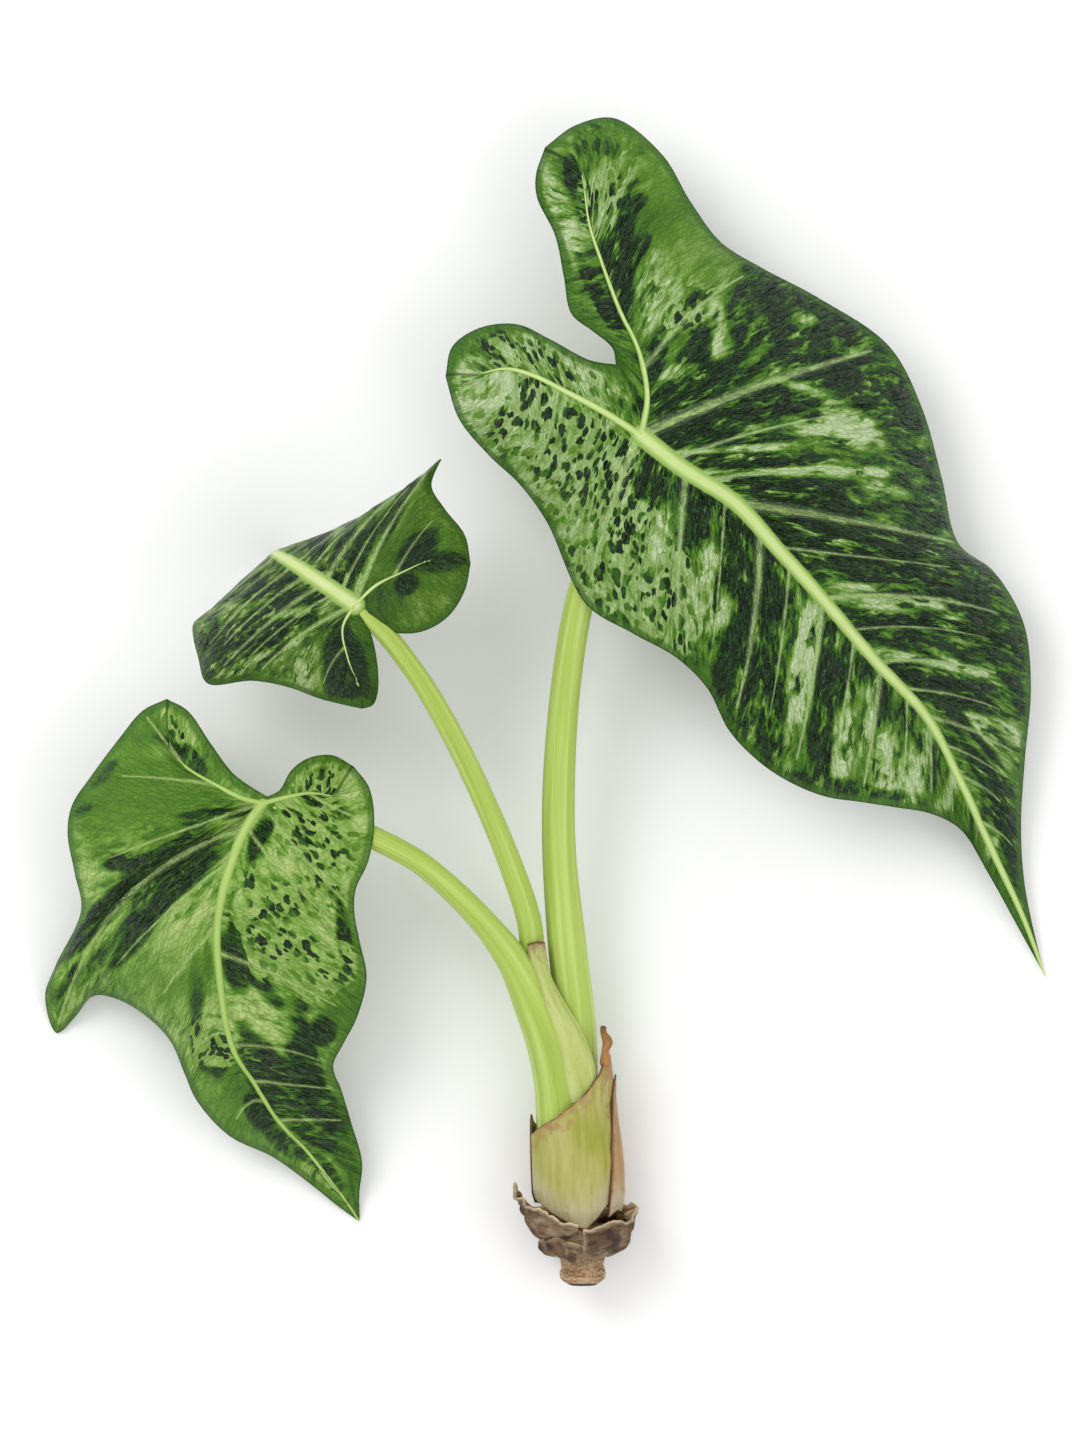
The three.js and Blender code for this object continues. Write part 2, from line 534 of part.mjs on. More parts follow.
const bigBlade = (grow) => blade(bigLeaf, 0, 5, grow);
const middleBlade = (grow) => blade(middleLeaf, 1, 6, grow);
const lowerBlade = (grow) => blade(lowerLeaf, 0, 5, grow);
const bigPetiole = (grow) => stalk(bigStalk, 24, 14, grow);
const middlePetiole = (grow) => stalk(middleStalk, 20, 10, grow);
const lowerPetiole = (grow) => stalk(lowerStalk, 30, 14, grow);
const withered = (grow) => stalk(innerCataphyll, 12, 10, grow);
const papery = (grow) => wrap(outerCataphyll, 24, 8, grow).add(stalk(twistedTip, 6, 6, grow));
const right = (grow) => wrap(rightSheath, 12, 6, grow);
const back = (grow) => wrap(backSheath, 12, 4, grow);
const corm = (grow) => turned(cormProfile, cormCentre, 20, grow);
const left1 = (grow) => wrap(leftScale, 24, 4, grow);
const right1 = (grow) => wrap(rightScale, 22, 4, grow);
const left2 = (grow) => wrap(leftLowerScale, 10, 3, grow);
const front1 = (grow) => wrap(frontScale, 8, 3, grow);

// [name, solid, colour, roughness]
const pieces = [
  ["big_leaf_blade", cutClear(bigBlade), "#3f6e34", 0.45],
  ["middle_leaf_blade", cutClear(middleBlade), "#4c7a38", 0.45],
  ["lower_leaf_blade", cutClear(lowerBlade), "#5a8a3a", 0.45],
  ["big_petiole", cutClear(bigPetiole, bigBlade), "#a9c95a", 0.5],
  ["middle_petiole", cutClear(middlePetiole, middleBlade, bigPetiole), "#a2c250", 0.5],
  ["inner_cataphyll", cutClear(withered, bigPetiole, middlePetiole), "#b8a878", 0.7],
  ["lower_petiole", cutClear(lowerPetiole, lowerBlade, bigPetiole, middlePetiole, withered), "#93b944", 0.5],
  ["outer_cataphyll", cutClear(papery, lowerPetiole, bigPetiole, withered), "#cdc77a", 0.7],
  ["right_sheath", cutClear(right, papery), "#c8a060", 0.75],
  ["back_sheath", cutClear(back, papery, right), "#b09a68", 0.75],
  ["corm", cutClear(corm, papery, lowerPetiole), "#8b6f4e", 0.9],
  ["left_tunic_scale", cutClear(left1, papery, back, right, corm), "#8a6a4a", 0.9],
  ["right_tunic_scale", cutClear(right1, papery, right, back, corm, left1), "#b0916c", 0.9],
  ["left_lower_scale", cutClear(left2, corm, left1, right1), "#6d5138", 0.9],
  ["front_tunic_scale", cutClear(front1, corm, left1, right1, left2), "#a88258", 0.9],
];

const group = new THREE.Group();
group.name = "alocasia_bulb";
for (const [name, solid, colour, roughness] of pieces) {
  const { vertProperties, triVerts } = solid.getMesh();
  const geometry = new THREE.BufferGeometry();
  geometry.setAttribute("position", new THREE.BufferAttribute(vertProperties, 3));
  geometry.setIndex(new THREE.BufferAttribute(triVerts, 1));
  geometry.computeVertexNormals();
  const material = new THREE.MeshStandardMaterial({ color: colour, roughness, metalness: 0 });
  const mesh = new THREE.Mesh(geometry, material);
  mesh.name = name;
  group.add(mesh);
}

export default group;
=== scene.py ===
import bpy
import numpy as np
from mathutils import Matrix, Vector, noise


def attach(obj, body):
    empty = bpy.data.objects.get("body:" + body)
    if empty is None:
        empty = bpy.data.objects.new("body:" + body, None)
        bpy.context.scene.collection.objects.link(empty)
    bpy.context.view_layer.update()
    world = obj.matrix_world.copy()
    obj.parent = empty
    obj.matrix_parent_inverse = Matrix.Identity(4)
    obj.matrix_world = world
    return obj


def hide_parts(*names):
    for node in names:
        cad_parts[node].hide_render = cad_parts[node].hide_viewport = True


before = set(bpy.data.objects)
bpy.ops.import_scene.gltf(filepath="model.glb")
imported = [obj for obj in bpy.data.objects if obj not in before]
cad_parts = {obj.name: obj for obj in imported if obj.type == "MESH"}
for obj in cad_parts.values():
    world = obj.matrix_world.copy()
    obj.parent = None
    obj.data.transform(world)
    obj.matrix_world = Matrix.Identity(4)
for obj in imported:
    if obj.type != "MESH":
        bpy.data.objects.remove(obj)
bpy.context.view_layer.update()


# ---------------------------------------------------------------- corm
# The swollen underground stem: corky tan tissue on a short neck, ringed by old leaf scars.
# Its base end is painted dark: partly the dead plate where the roots were trimmed, partly painted shade under
# the corm.

def colour(text):
    """The linear colour of an sRGB hex value."""
    parts = [int(text[k:k + 2], 16) / 255 for k in (1, 3, 5)]
    return [c / 12.92 if c <= 0.04045 else ((c + 0.055) / 1.055) ** 2.4 for c in parts] + [1.0]


def add(tree, kind, inputs=(), out=0, ramp=(), **settings):
    """Adds a node with its settings, links or values, and the stops of its ramp. Gives an output."""
    node = tree.nodes.new("ShaderNode" + kind)
    for name, value in settings.items():
        setattr(node, name, value)
    for socket, value in inputs.items() if isinstance(inputs, dict) else enumerate(inputs):
        if isinstance(value, bpy.types.NodeSocket):
            tree.links.new(value, node.inputs[socket])
        else:
            node.inputs[socket].default_value = value
    stops = node.color_ramp.elements if ramp else []
    while len(stops) < len(ramp):
        stops.new(0.5)
    for stop, (place, shade) in zip(stops, ramp):
        stop.position = place
        stop.color = colour(shade)
    return node.outputs[out]


def new_material(name):
    """An empty node material: its tree and its one surface shader."""
    material = bpy.data.materials.new(name)
    material.use_nodes = True
    tree = material.node_tree
    return material, tree, tree.nodes["Principled BSDF"]


def unit(vectors):
    return vectors / np.maximum(np.linalg.norm(vectors, axis=-1, keepdims=True), 1e-9)


def normals_of(points, quads):
    """Smooth normals of a mesh of quads."""
    a, b, c, d = (points[quads[:, k]] for k in range(4))
    face = np.cross(c - a, d - b)
    total = np.zeros_like(points)
    for k in range(4):
        np.add.at(total, quads[:, k], face)
    return unit(total)


def piece(name, points, faces, material, stands_for, slot, **attributes):
    """A named mesh shown in place of a CAD node. The back of a sheet takes the attributes of its front."""
    mesh = bpy.data.meshes.new(name + "_skin")
    mesh.from_pydata((points * 0.001).tolist(), [], [list(dict.fromkeys(map(int, f))) for f in faces])
    for key, values in attributes.items():
        values = np.asarray(values, dtype=np.float32)
        if len(values) < len(points):
            values = np.concatenate([values, values])
        kind = "FLOAT_VECTOR" if values.ndim == 2 else "FLOAT"
        layer = mesh.attributes.new(key, kind, "POINT")
        layer.data.foreach_set("vector" if values.ndim == 2 else "value", values.ravel())
    mesh.shade_smooth()
    mesh.set_sharp_from_angle(angle=np.radians(55))
    mesh.materials.append(material)
    obj = bpy.data.objects.new(name + "_skin", mesh)
    bpy.context.collection.objects.link(obj)
    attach(obj, "root")
    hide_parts(stands_for)
    return obj


def through(points, place):
    """Centripetal curve through `points` at places 0 to 1."""
    p = np.asarray(points, dtype=float)
    p = np.vstack([2 * p[0] - p[1], p, 2 * p[-1] - p[-2]])
    gap = np.linalg.norm(np.diff(p, axis=0), axis=1) ** 0.5
    x = np.clip(np.asarray(place, dtype=float), 0, 1) * (len(p) - 3)
    k = np.minimum(x.astype(int), len(p) - 4)
    t = (x - k)[..., None]
    before, step, after = (np.where(g < 1e-4, 1.0, g)[..., None] for g in (gap[k], gap[k + 1], gap[k + 2]))
    p0, p1, p2, p3 = (p[k + n] for n in range(4))
    out = ((p1 - p0) / before - (p2 - p0) / (before + step) + (p2 - p1) / step) * step
    into = ((p2 - p1) / step - (p3 - p1) / (step + after) + (p3 - p2) / after) * step
    return p1 + out * t + (3 * (p2 - p1) - 2 * out - into) * t ** 2 + (2 * (p1 - p2) + out + into) * t ** 3


def rough(points, size, seed, octaves=3):
    """Smooth noise from -1 to 1 at each point, with features of about `size` millimetres."""
    shift = Vector((seed * 17.3, seed * 5.1, seed * 9.7))
    return np.array([noise.fractal(Vector(p) / size + shift, 1.0, 2.0, octaves) for p in points.tolist()])


def grid_faces(rows, columns, closed):
    """Quads of a grid of points; a closed grid joins its last column to its first."""
    i, j = np.meshgrid(np.arange(rows - 1), np.arange(columns if closed else columns - 1), indexing="ij")
    across = (j + 1) % columns
    return np.stack([i * columns + j, i * columns + across, (i + 1) * columns + across,
                     (i + 1) * columns + j], axis=-1).reshape(-1, 4)


CORM_CENTRE = (10.9, 15.2)
CORM_PROFILE = [  # radius, y
    (0.05, -174.6), (3.2, -174.8), (4.8, -174.2), (6.6, -172.8), (7.0, -171.3), (6.4, -169), (6.8, -166.5),
    (8.6, -163.5), (9.4, -159.8), (7.4, -156.5), (0.05, -156.3),
]


def corm_material():
    """Corky corm skin: dry, matt, tan with darker rings of leaf scars; its base is painted dark brown, partly
    dead tissue and partly painted shade.
    """
    material, tree, surface = new_material("corky corm skin")
    grain = add(tree, "Attribute", attribute_name="grain", out="Vector")
    base = add(tree, "Attribute", attribute_name="base", out="Fac")
    scars = add(tree, "Mapping", {"Vector": grain, "Scale": (0.12, 0.9, 1)})
    rings = add(tree, "TexNoise", {"Vector": scars, "Scale": 1.0, "Detail": 5.0, "Roughness": 0.65})
    cork = add(tree, "TexNoise", {"Vector": grain, "Scale": 1.6, "Detail": 5.0, "Roughness": 0.7})
    mixed = add(tree, "Math", {0: rings, 1: cork}, operation="ADD")
    tan = add(tree, "ValToRGB", {0: add(tree, "MapRange", {0: mixed, 1: 0.7, 2: 1.35})},
              ramp=[(0.0, "#4a3524"), (0.3, "#8a6b4a"), (0.6, "#bfa07a"), (1.0, "#dcc39c")])
    # the base end turns dark brown: partly dead tissue, partly painted shade under the corm
    dead_and_shaded_base = add(tree, "Math", {0: base, 1: add(tree, "Math", {0: cork, 1: 0.25}, operation="MULTIPLY")},
               operation="ADD")
    edge = add(tree, "MapRange", {0: dead_and_shaded_base, 1: 0.55, 2: 0.75}, interpolation_type="SMOOTHSTEP")
    skin = add(tree, "Mix", {0: edge, 6: tan, 7: colour("#2b1d12")}, out=2, data_type="RGBA")
    tree.links.new(skin, surface.inputs["Base Color"])
    bump = add(tree, "Bump", {"Height": mixed, "Distance": 0.0006, "Strength": 0.8})
    tree.links.new(bump, surface.inputs["Normal"])
    surface.inputs["Roughness"].default_value = 0.85
    return material


def make_corm():
    profile = np.array(CORM_PROFILE)
    rows, sides = 90, 72
    line = through(np.column_stack([profile, np.zeros(len(profile))]), np.linspace(0, 1, rows))
    turn = np.linspace(0, 2 * np.pi, sides, endpoint=False)
    radius = np.maximum(line[:, 0], 0.04)[:, None]
    points = np.stack([
        CORM_CENTRE[0] + radius * np.cos(turn), np.broadcast_to(line[:, 1:2], (rows, sides)),
        CORM_CENTRE[1] + radius * np.sin(turn)], axis=-1).reshape(-1, 3)
    faces = grid_faces(rows, sides, True)
    outward = unit(points - np.column_stack([
        np.full(len(points), CORM_CENTRE[0]), points[:, 1], np.full(len(points), CORM_CENTRE[1])]))
    points = points + outward * (rough(points, 5, 1) * 0.45)[:, None]
    around = np.tile(turn * 8, rows)
    # where the base end is painted dark: dead tissue and painted shade
    base = np.clip((-173.6 - points[:, 1]) / 1.0, 0, 1)
    piece("corm", points, faces, corm_material(), "corm", "corm_skin", base=base,
          grain=np.column_stack([around, points[:, 1], points[:, 2] * 0.3]))


make_corm()


# ---------------------------------------------------------------- tunic scales
# Dead leaf bases that dried round the corm: brittle, wrinkled lengthwise, curled away at their edges.
# Brown outside; the ridges are painted pale and the folds dark, as painted highlight and painted shade with
# some wear.

def along(pairs, x):
    """Straight lines through (x, value) pairs."""
    table = np.asarray(pairs, dtype=float)
    return np.interp(x, table[:, 0], table[:, 1])


def closed_sheet(points, quads, thick, lift=None):
    """Gives a sheet a back and a rim. Returns points, faces and which points belong to the back."""
    normals = normals_of(points, quads)
    if lift is not None:
        points = points + normals * np.asarray(lift)[:, None]
        normals = normals_of(points, quads)
    back = points - normals * np.broadcast_to(thick, len(points))[:, None]
    back[:, 2] = np.maximum(back[:, 2], 0.02)
    count = len(points)
    edges = np.concatenate([quads[:, [k, (k + 1) % 4]] for k in range(4)])
    known = set(map(tuple, edges.tolist()))
    open_edges = [(a, b) for a, b in edges.tolist() if a != b and (b, a) not in known]
    rim = np.array([[b, a, a + count, b + count] for a, b in open_edges])
    faces = np.concatenate([quads, quads[:, ::-1] + count, rim])
    under = np.concatenate([np.zeros(count), np.ones(count)])
    return np.concatenate([points, back]), faces, under


def scale_material(name, dark, mid, pale, worn_and_lit):
    """Dry tunic: matt brown fibres that run lengthwise, paler on the ridges and darker in the creases as
    painted highlight and painted shade with some wear; its back is painted dark as painted shade.
    """
    material, tree, surface = new_material(name)
    grain = add(tree, "Attribute", attribute_name="grain", out="Vector")
    rim = add(tree, "Attribute", attribute_name="rim", out="Fac")
    under = add(tree, "Attribute", attribute_name="under", out="Fac")
    stretched = add(tree, "Mapping", {"Vector": grain, "Rotation": (0, 0, 0.45), "Scale": (0.22, 0.8, 1)})
    fibres = add(tree, "TexNoise", {"Vector": stretched, "Scale": 1.0, "Detail": 6.0, "Roughness": 0.68,
                                    "Distortion": 0.6})
    blotch = add(tree, "TexNoise", {"Vector": grain, "Scale": 0.28, "Detail": 3.0})
    # fold height lifts ridges toward the pale colours and sinks creases toward the dark: painted highlight
    # and painted shade, with some wear
    ridge = add(tree, "Attribute", attribute_name="ridge", out="Fac")
    both = add(tree, "Mix", {0: 0.45, 2: fibres, 3: blotch})
    both = add(tree, "Math", {0: ridge, 1: 0.3, 2: both}, operation="MULTIPLY_ADD")
    tone = add(tree, "ValToRGB", {0: both}, ramp=[
        (0.3, dark), (0.45, mid), (0.57, pale), (0.72, worn_and_lit)])
    edge = add(tree, "MapRange", {0: rim, 1: 1.4, 2: 0.2}, interpolation_type="SMOOTHSTEP")
    edge = add(tree, "Math", {0: edge, 1: fibres}, operation="MULTIPLY")
    tone = add(tree, "Mix", {0: edge, 6: tone, 7: colour(worn_and_lit)}, out=2, data_type="RGBA")
    # the back of the sheet is painted dark brown: painted shade under the curled edges
    painted_back_shade = add(tree, "Math", {0: under, 1: 0.6}, operation="MULTIPLY")
    tone = add(tree, "Mix", {0: painted_back_shade, 6: tone, 7: colour("#3a281b")}, out=2, data_type="RGBA")
    tree.links.new(tone, surface.inputs["Base Color"])
    bump = add(tree, "Bump", {"Height": fibres, "Distance": 0.0009, "Strength": 0.9})
    tree.links.new(bump, surface.inputs["Normal"])
    surface.inputs["Roughness"].default_value = 0.8
    return material


NECK_RADIUS = 13
MM_PER_DEGREE = 0.23  # round the neck


def wrap(name, ring, top, bottom, material, slot, thick=0.8, crumple=0.5, crease=3.0, curl=0.0, seed=1,
         columns=150, rows=70, folds=5.0, slant=0.0, tuck=0.0):
    """A sheath round the neck: `ring` is (y, x, z, half width, half depth), the edges are (angle, y)."""
    angle = np.linspace(top[0][0], top[-1][0], columns)
    high, low = along(top, angle), along(bottom, angle)
    part = np.linspace(0, 1, rows)
    y = low[:, None] + (high - low)[:, None] * part
    ragged = rough(np.column_stack([angle * 0.25, np.zeros(columns), np.zeros(columns)]), 1.5, seed + 5)
    y = y + (ragged * 0.35)[:, None] * (part ** 4)
    section = [along([(r[0], r[k]) for r in ring], y) for k in (1, 2, 3, 4)]
    turn = np.radians(angle)[:, None]
    flare = curl * np.clip((part - 0.7) / 0.3, 0, 1) ** 2 - tuck * np.clip(1 - part / 0.3, 0, 1) ** 1.5
    points = np.stack([section[0] + (section[2] + flare) * np.cos(turn), y,
                       section[1] + (section[3] + flare) * np.sin(turn)], axis=-1).reshape(-1, 3)
    quads = grid_faces(columns, rows, False)[:, ::-1]
    around = np.repeat(np.radians(angle) * NECK_RADIUS, rows)
    across, down = around + slant * points[:, 1], points[:, 1] - slant * around
    wrinkle = np.column_stack([across / crease, down / (crease * folds), np.full(len(points), seed * 3.0)])
    # the fold height shapes the sheet and also paints its ridges light and its creases dark
    ridge = rough(wrinkle, 1, seed, 2)
    lift = crumple * (ridge - 0.2)
    points[:, 2] = np.maximum(points[:, 2], 0.9)
    points, faces, under = closed_sheet(points, quads, thick, lift)
    points[:, 2] = np.maximum(points[:, 2], 0.02)
    from_side = np.minimum(angle - angle[0], angle[-1] - angle) * MM_PER_DEGREE
    from_end = np.minimum(high[:, None] - y, y - low[:, None])
    rim = np.minimum(from_side[:, None], np.abs(from_end)).ravel()
    top_gap = (high[:, None] - y).ravel()
    low_gap = (y - low[:, None]).ravel()
    side_gap = np.repeat((angle - angle[0]) * MM_PER_DEGREE, rows)
    grain = np.column_stack([around, points[:len(around), 1], np.full(len(around), seed * 7.0)])
    piece(name, points, faces, material, name, slot, under=under, rim=rim, top_gap=top_gap, ridge=ridge,
          low_gap=low_gap, side_gap=side_gap, grain=grain)


husk = scale_material("dry corm tunic", "#3e2816", "#8e6a45", "#c4a27a", "#e6d3b0")
dark_husk = scale_material("weathered corm tunic", "#2c1c10", "#6b4c30", "#a07e58", "#cbb088")

wrap("left_lower_scale",
     ring=[(-168, 10.6, 15, 8, 8.6), (-164, 10.4, 15, 10.2, 10.6), (-160, 10.2, 15, 11.6, 12)],
     top=[(112, -160), (140, -160.5), (165, -161), (185, -161), (215, -161.5)],
     bottom=[(112, -167), (128, -166), (145, -164.6), (160, -164), (170, -165.2), (180, -164.3),
             (215, -164.5)],
     material=dark_husk, slot="tunic_scale", crumple=1.5, crease=4.0, folds=1.5, slant=1.3, curl=0.8,
     tuck=2.2, seed=3, columns=90, rows=50)
wrap("front_tunic_scale",
     ring=[(-169, 11, 15, 8.2, 8.3), (-165, 10.8, 15, 9.6, 10.4), (-161, 10.6, 15, 10.9, 12)],
     top=[(48, -163), (75, -163.4), (95, -161.5), (118, -160.5)],
     bottom=[(48, -164.6), (75, -166.4), (97, -168.6), (104, -167.4), (118, -165.5)],
     material=husk, slot="tunic_scale", crumple=1.3, crease=4.0, folds=1.5, slant=-1.3, curl=0.8,
     tuck=2.0, seed=4, columns=80, rows=50)
wrap("left_tunic_scale",
     ring=[(-162, 10.4, 15, 13, 13.5), (-158, 10, 15, 14, 15), (-153, 9.4, 15, 14.2, 16),
           (-149, 9.4, 15, 15.4, 16), (-143, 9.4, 15, 16.8, 15)],
     top=[(92, -156.8), (108, -154.7), (126, -152), (145, -149.4), (160, -147.6), (170, -145.2),
          (178, -143.6), (188, -145.5), (200, -149), (225, -151), (271, -152)],
     bottom=[(92, -158.2), (110, -159.3), (130, -160.2), (150, -160.6), (175, -158.5), (200, -160),
             (271, -162)],
     material=husk, slot="tunic_scale", crumple=2.1, crease=5.4, folds=1.5, slant=0.9, curl=2.0,
     tuck=4.6, seed=5)
wrap("right_tunic_scale",
     ring=[(-168, 10.4, 15, 9.2, 9.4), (-164, 10.8, 15, 11.8, 12.4), (-160, 10.8, 15, 12.8, 15),
           (-155, 10.6, 15, 14.2, 16), (-150, 10.2, 15, 14.6, 16)],
     top=[(-95, -152), (-60, -151), (-20, -150.5), (0, -150.8), (12, -151.8), (30, -153.4), (50, -154.6),
          (68, -155.4), (88, -157.2)],
     bottom=[(-95, -162), (-40, -164), (-10, -165), (15, -164.3), (38, -163), (60, -163.4), (76, -165),
             (88, -164)],
     material=husk, slot="tunic_scale", crumple=2.1, crease=5.4, folds=1.5, slant=-1.2, curl=2.0,
     tuck=4.0, seed=6)


# ---------------------------------------------------------------- sheaths of the neck
# Cataphylls: thin leaf sheaths that wrap the foot of the stalks. They dry from their tips and edges inwards,
# so the papery one in front is still yellow-green in the middle, with brown nerves and a twisted dead tip.

def sheath_material(name, fresh, middle, dry, dead, dryness):
    """Papery cataphyll: satin, with fine parallel nerves, fresh colour in the middle and brown edges."""
    material, tree, surface = new_material(name)
    grain = add(tree, "Attribute", attribute_name="grain", out="Vector")
    rim = add(tree, "Attribute", attribute_name="rim", out="Fac")
    top_gap = add(tree, "Attribute", attribute_name="top_gap", out="Fac")
    under = add(tree, "Attribute", attribute_name="under", out="Fac")
    fine = add(tree, "Mapping", {"Vector": grain, "Scale": (1.5, 0.03, 1)})
    nerves = add(tree, "TexNoise", {"Vector": fine, "Scale": 1.0, "Detail": 4.0, "Roughness": 0.6})
    wide = add(tree, "Mapping", {"Vector": grain, "Scale": (0.32, 0.05, 1)})
    bands = add(tree, "TexNoise", {"Vector": wide, "Scale": 1.0, "Detail": 2.0})
    blotch = add(tree, "TexNoise", {"Vector": grain, "Scale": 0.35, "Detail": 4.0})
    tone = add(tree, "Mix", {0: add(tree, "MapRange", {0: bands, 1: 0.35, 2: 0.65}),
                             6: colour(fresh), 7: colour(middle)}, out=2, data_type="RGBA")
    edge = add(tree, "MapRange", {0: top_gap, 1: 9.0, 2: 0.0})
    spread = add(tree, "Math", {0: blotch, 1: 2.4, 2: dryness - 1.35}, operation="MULTIPLY_ADD")
    spread = add(tree, "Math", {0: edge, 1: spread}, operation="ADD")
    low_gap = add(tree, "Attribute", attribute_name="low_gap", out="Fac")
    side_gap = add(tree, "Attribute", attribute_name="side_gap", out="Fac")
    blanched = add(tree, "MapRange", {0: low_gap, 1: 13.0, 2: 1.0}, interpolation_type="SMOOTHSTEP")
    blanched = add(tree, "Math", {0: blanched, 1: 0.8}, operation="MULTIPLY")
    tone = add(tree, "Mix", {0: blanched, 6: tone, 7: colour("#e8e8c4")}, out=2, data_type="RGBA")
    beside = add(tree, "MapRange", {0: side_gap, 1: 9.0, 2: 0.5})
    beside = add(tree, "Math", {0: beside, 1: nerves, 2: 0.0}, operation="MULTIPLY_ADD")
    spread = add(tree, "Math", {0: beside, 1: 2.4, 2: spread}, operation="MULTIPLY_ADD")
    nearly = add(tree, "MapRange", {0: spread, 1: 0.1, 2: 1.0}, interpolation_type="SMOOTHSTEP")
    tone = add(tree, "Mix", {0: nearly, 6: tone, 7: colour(dry)}, out=2, data_type="RGBA")
    line = add(tree, "MapRange", {0: nerves, 1: 0.56, 2: 0.68}, interpolation_type="SMOOTHSTEP")
    line_share = add(tree, "Math", {0: spread, 1: 0.5, 2: 0.22}, operation="MULTIPLY_ADD", use_clamp=True)
    line = add(tree, "Math", {0: line, 1: line_share}, operation="MULTIPLY")
    tone = add(tree, "Mix", {0: line, 6: tone, 7: colour(dead)}, out=2, data_type="RGBA")
    burnt = add(tree, "MapRange", {0: add(tree, "Math", {0: rim, 1: blotch}, operation="ADD"),
                                   1: 1.05, 2: 0.55}, interpolation_type="SMOOTHSTEP")
    tone = add(tree, "Mix", {0: burnt, 6: tone, 7: colour(dead)}, out=2, data_type="RGBA")
    # the back of the sheath is painted toward the dead brown: painted shade
    shade = add(tree, "Math", {0: under, 1: 0.5}, operation="MULTIPLY")
    tone = add(tree, "Mix", {0: shade, 6: tone, 7: colour(dead)}, out=2, data_type="RGBA")
    tree.links.new(tone, surface.inputs["Base Color"])
    bump = add(tree, "Bump", {"Height": nerves, "Distance": 0.0004, "Strength": 0.7})
    tree.links.new(bump, surface.inputs["Normal"])
    surface.inputs["Roughness"].default_value = 0.5
    return material


papery = sheath_material("papery cataphyll", "#dfe28e", "#acc22c", "#bc9a58", "#744c28", -0.05)
tan_sheath = sheath_material("drying tan sheath", "#dcb878", "#c4924c", "#9c6a34", "#5c3818", 0.15)
old_sheath = sheath_material("old brown sheath", "#d6cf9e", "#c9bd86", "#a48a5e", "#5f4630", 0.1)

wrap("back_sheath",
     ring=[(-155, 9.5, 15, 11.6, 13.6), (-147, 9.2, 15, 12.9, 14.4), (-138, 9, 15, 13.1, 14.5),
           (-130, 8.6, 15.3, 12.9, 14.3), (-122, 8.4, 16, 12.6, 14)],
     top=[(172, -131), (178, -125), (186, -123.5), (200, -126), (225, -128), (255, -130), (280, -133)],
     bottom=[(172, -134), (178, -145), (190, -150), (280, -151)],
     material=old_sheath, slot="dry_sheath", thick=0.5, crumple=0.2, crease=3.5, seed=7)
wrap("right_sheath",
     ring=[(-155, 9.6, 15, 12.4, 13), (-147, 9.2, 15, 14, 13.6), (-138, 9.2, 15, 13.8, 13.7),
           (-128, 8.8, 15.2, 12.8, 13.3), (-118, 8.6, 16, 11.9, 12.9), (-112, 9.2, 17, 11.3, 12)],
     top=[(-75, -135), (-50, -124), (-20, -115), (0, -111.5), (14, -113), (26, -120), (38, -132), (46, -146)],
     bottom=[(-75, -151), (0, -153), (30, -152), (46, -154)],
     material=tan_sheath, slot="dry_sheath", thick=0.5, crumple=0.25, crease=3.0, seed=8)
wrap("outer_cataphyll",
     ring=[(-158, 10.5, 15, 8.5, 10.5), (-152, 9.5, 15, 11.3, 12.3), (-146, 9.2, 15, 12.4, 13),
           (-138, 9.1, 15, 12.6, 13.1), (-130, 8.4, 15.3, 12.2, 12.9), (-120, 8.2, 16, 11.1, 12.4),
           (-112, 9.2, 17.5, 10.4, 10.8), (-105, 10.3, 18, 8.4, 9.5)],
     top=[(12, -106), (24, -105), (36, -106.5), (48, -110), (62, -113.8), (78, -117.8), (95, -120.8),
          (118, -124.5), (150, -127.8), (180, -130.5), (190, -133)],
     bottom=[(12, -145), (35, -148), (60, -154), (80, -157.3), (95, -156.8), (120, -154), (150, -150),
             (190, -147)],
     material=papery, slot="papery_sheath", crumple=0.3, crease=2.6, seed=9, columns=220, rows=110)


# ---------------------------------------------------------------- stalks
# Petioles: juicy round stalks with fine lengthwise ribs. The lower left one opens at its foot into a broad
# sheath that clasps the others. Between them stands a small withered sheath.

def stalk_material(name, pale, fresh, deep, foot):
    """Smooth living petiole: satin, slightly translucent cuticle with fine pale striations."""
    material, tree, surface = new_material(name)
    grain = add(tree, "Attribute", attribute_name="grain", out="Vector")
    low = add(tree, "Attribute", attribute_name="foot", out="Fac")
    fine = add(tree, "Mapping", {"Vector": grain, "Scale": (2.2, 0.02, 1)})
    lines = add(tree, "TexNoise", {"Vector": fine, "Scale": 1.0, "Detail": 3.0})
    wide = add(tree, "Mapping", {"Vector": grain, "Scale": (0.28, 0.012, 1)})
    bands = add(tree, "TexNoise", {"Vector": wide, "Scale": 1.0, "Detail": 2.0})
    tone = add(tree, "ValToRGB", {0: add(tree, "Mix", {0: 0.35, 2: bands, 3: lines})},
               ramp=[(0.25, deep), (0.5, fresh), (0.78, pale)])
    tone = add(tree, "Mix", {0: low, 6: tone, 7: colour(foot)}, out=2, data_type="RGBA")
    tree.links.new(tone, surface.inputs["Base Color"])
    bump = add(tree, "Bump", {"Height": lines, "Distance": 0.0002, "Strength": 0.5})
    tree.links.new(bump, surface.inputs["Normal"])
    surface.inputs["Roughness"].default_value = 0.42
    surface.inputs["Subsurface Weight"].default_value = 0.15
    surface.inputs["Subsurface Scale"].default_value = 0.003
    surface.inputs["Subsurface Radius"].default_value = (0.6, 1.0, 0.3)
    return material


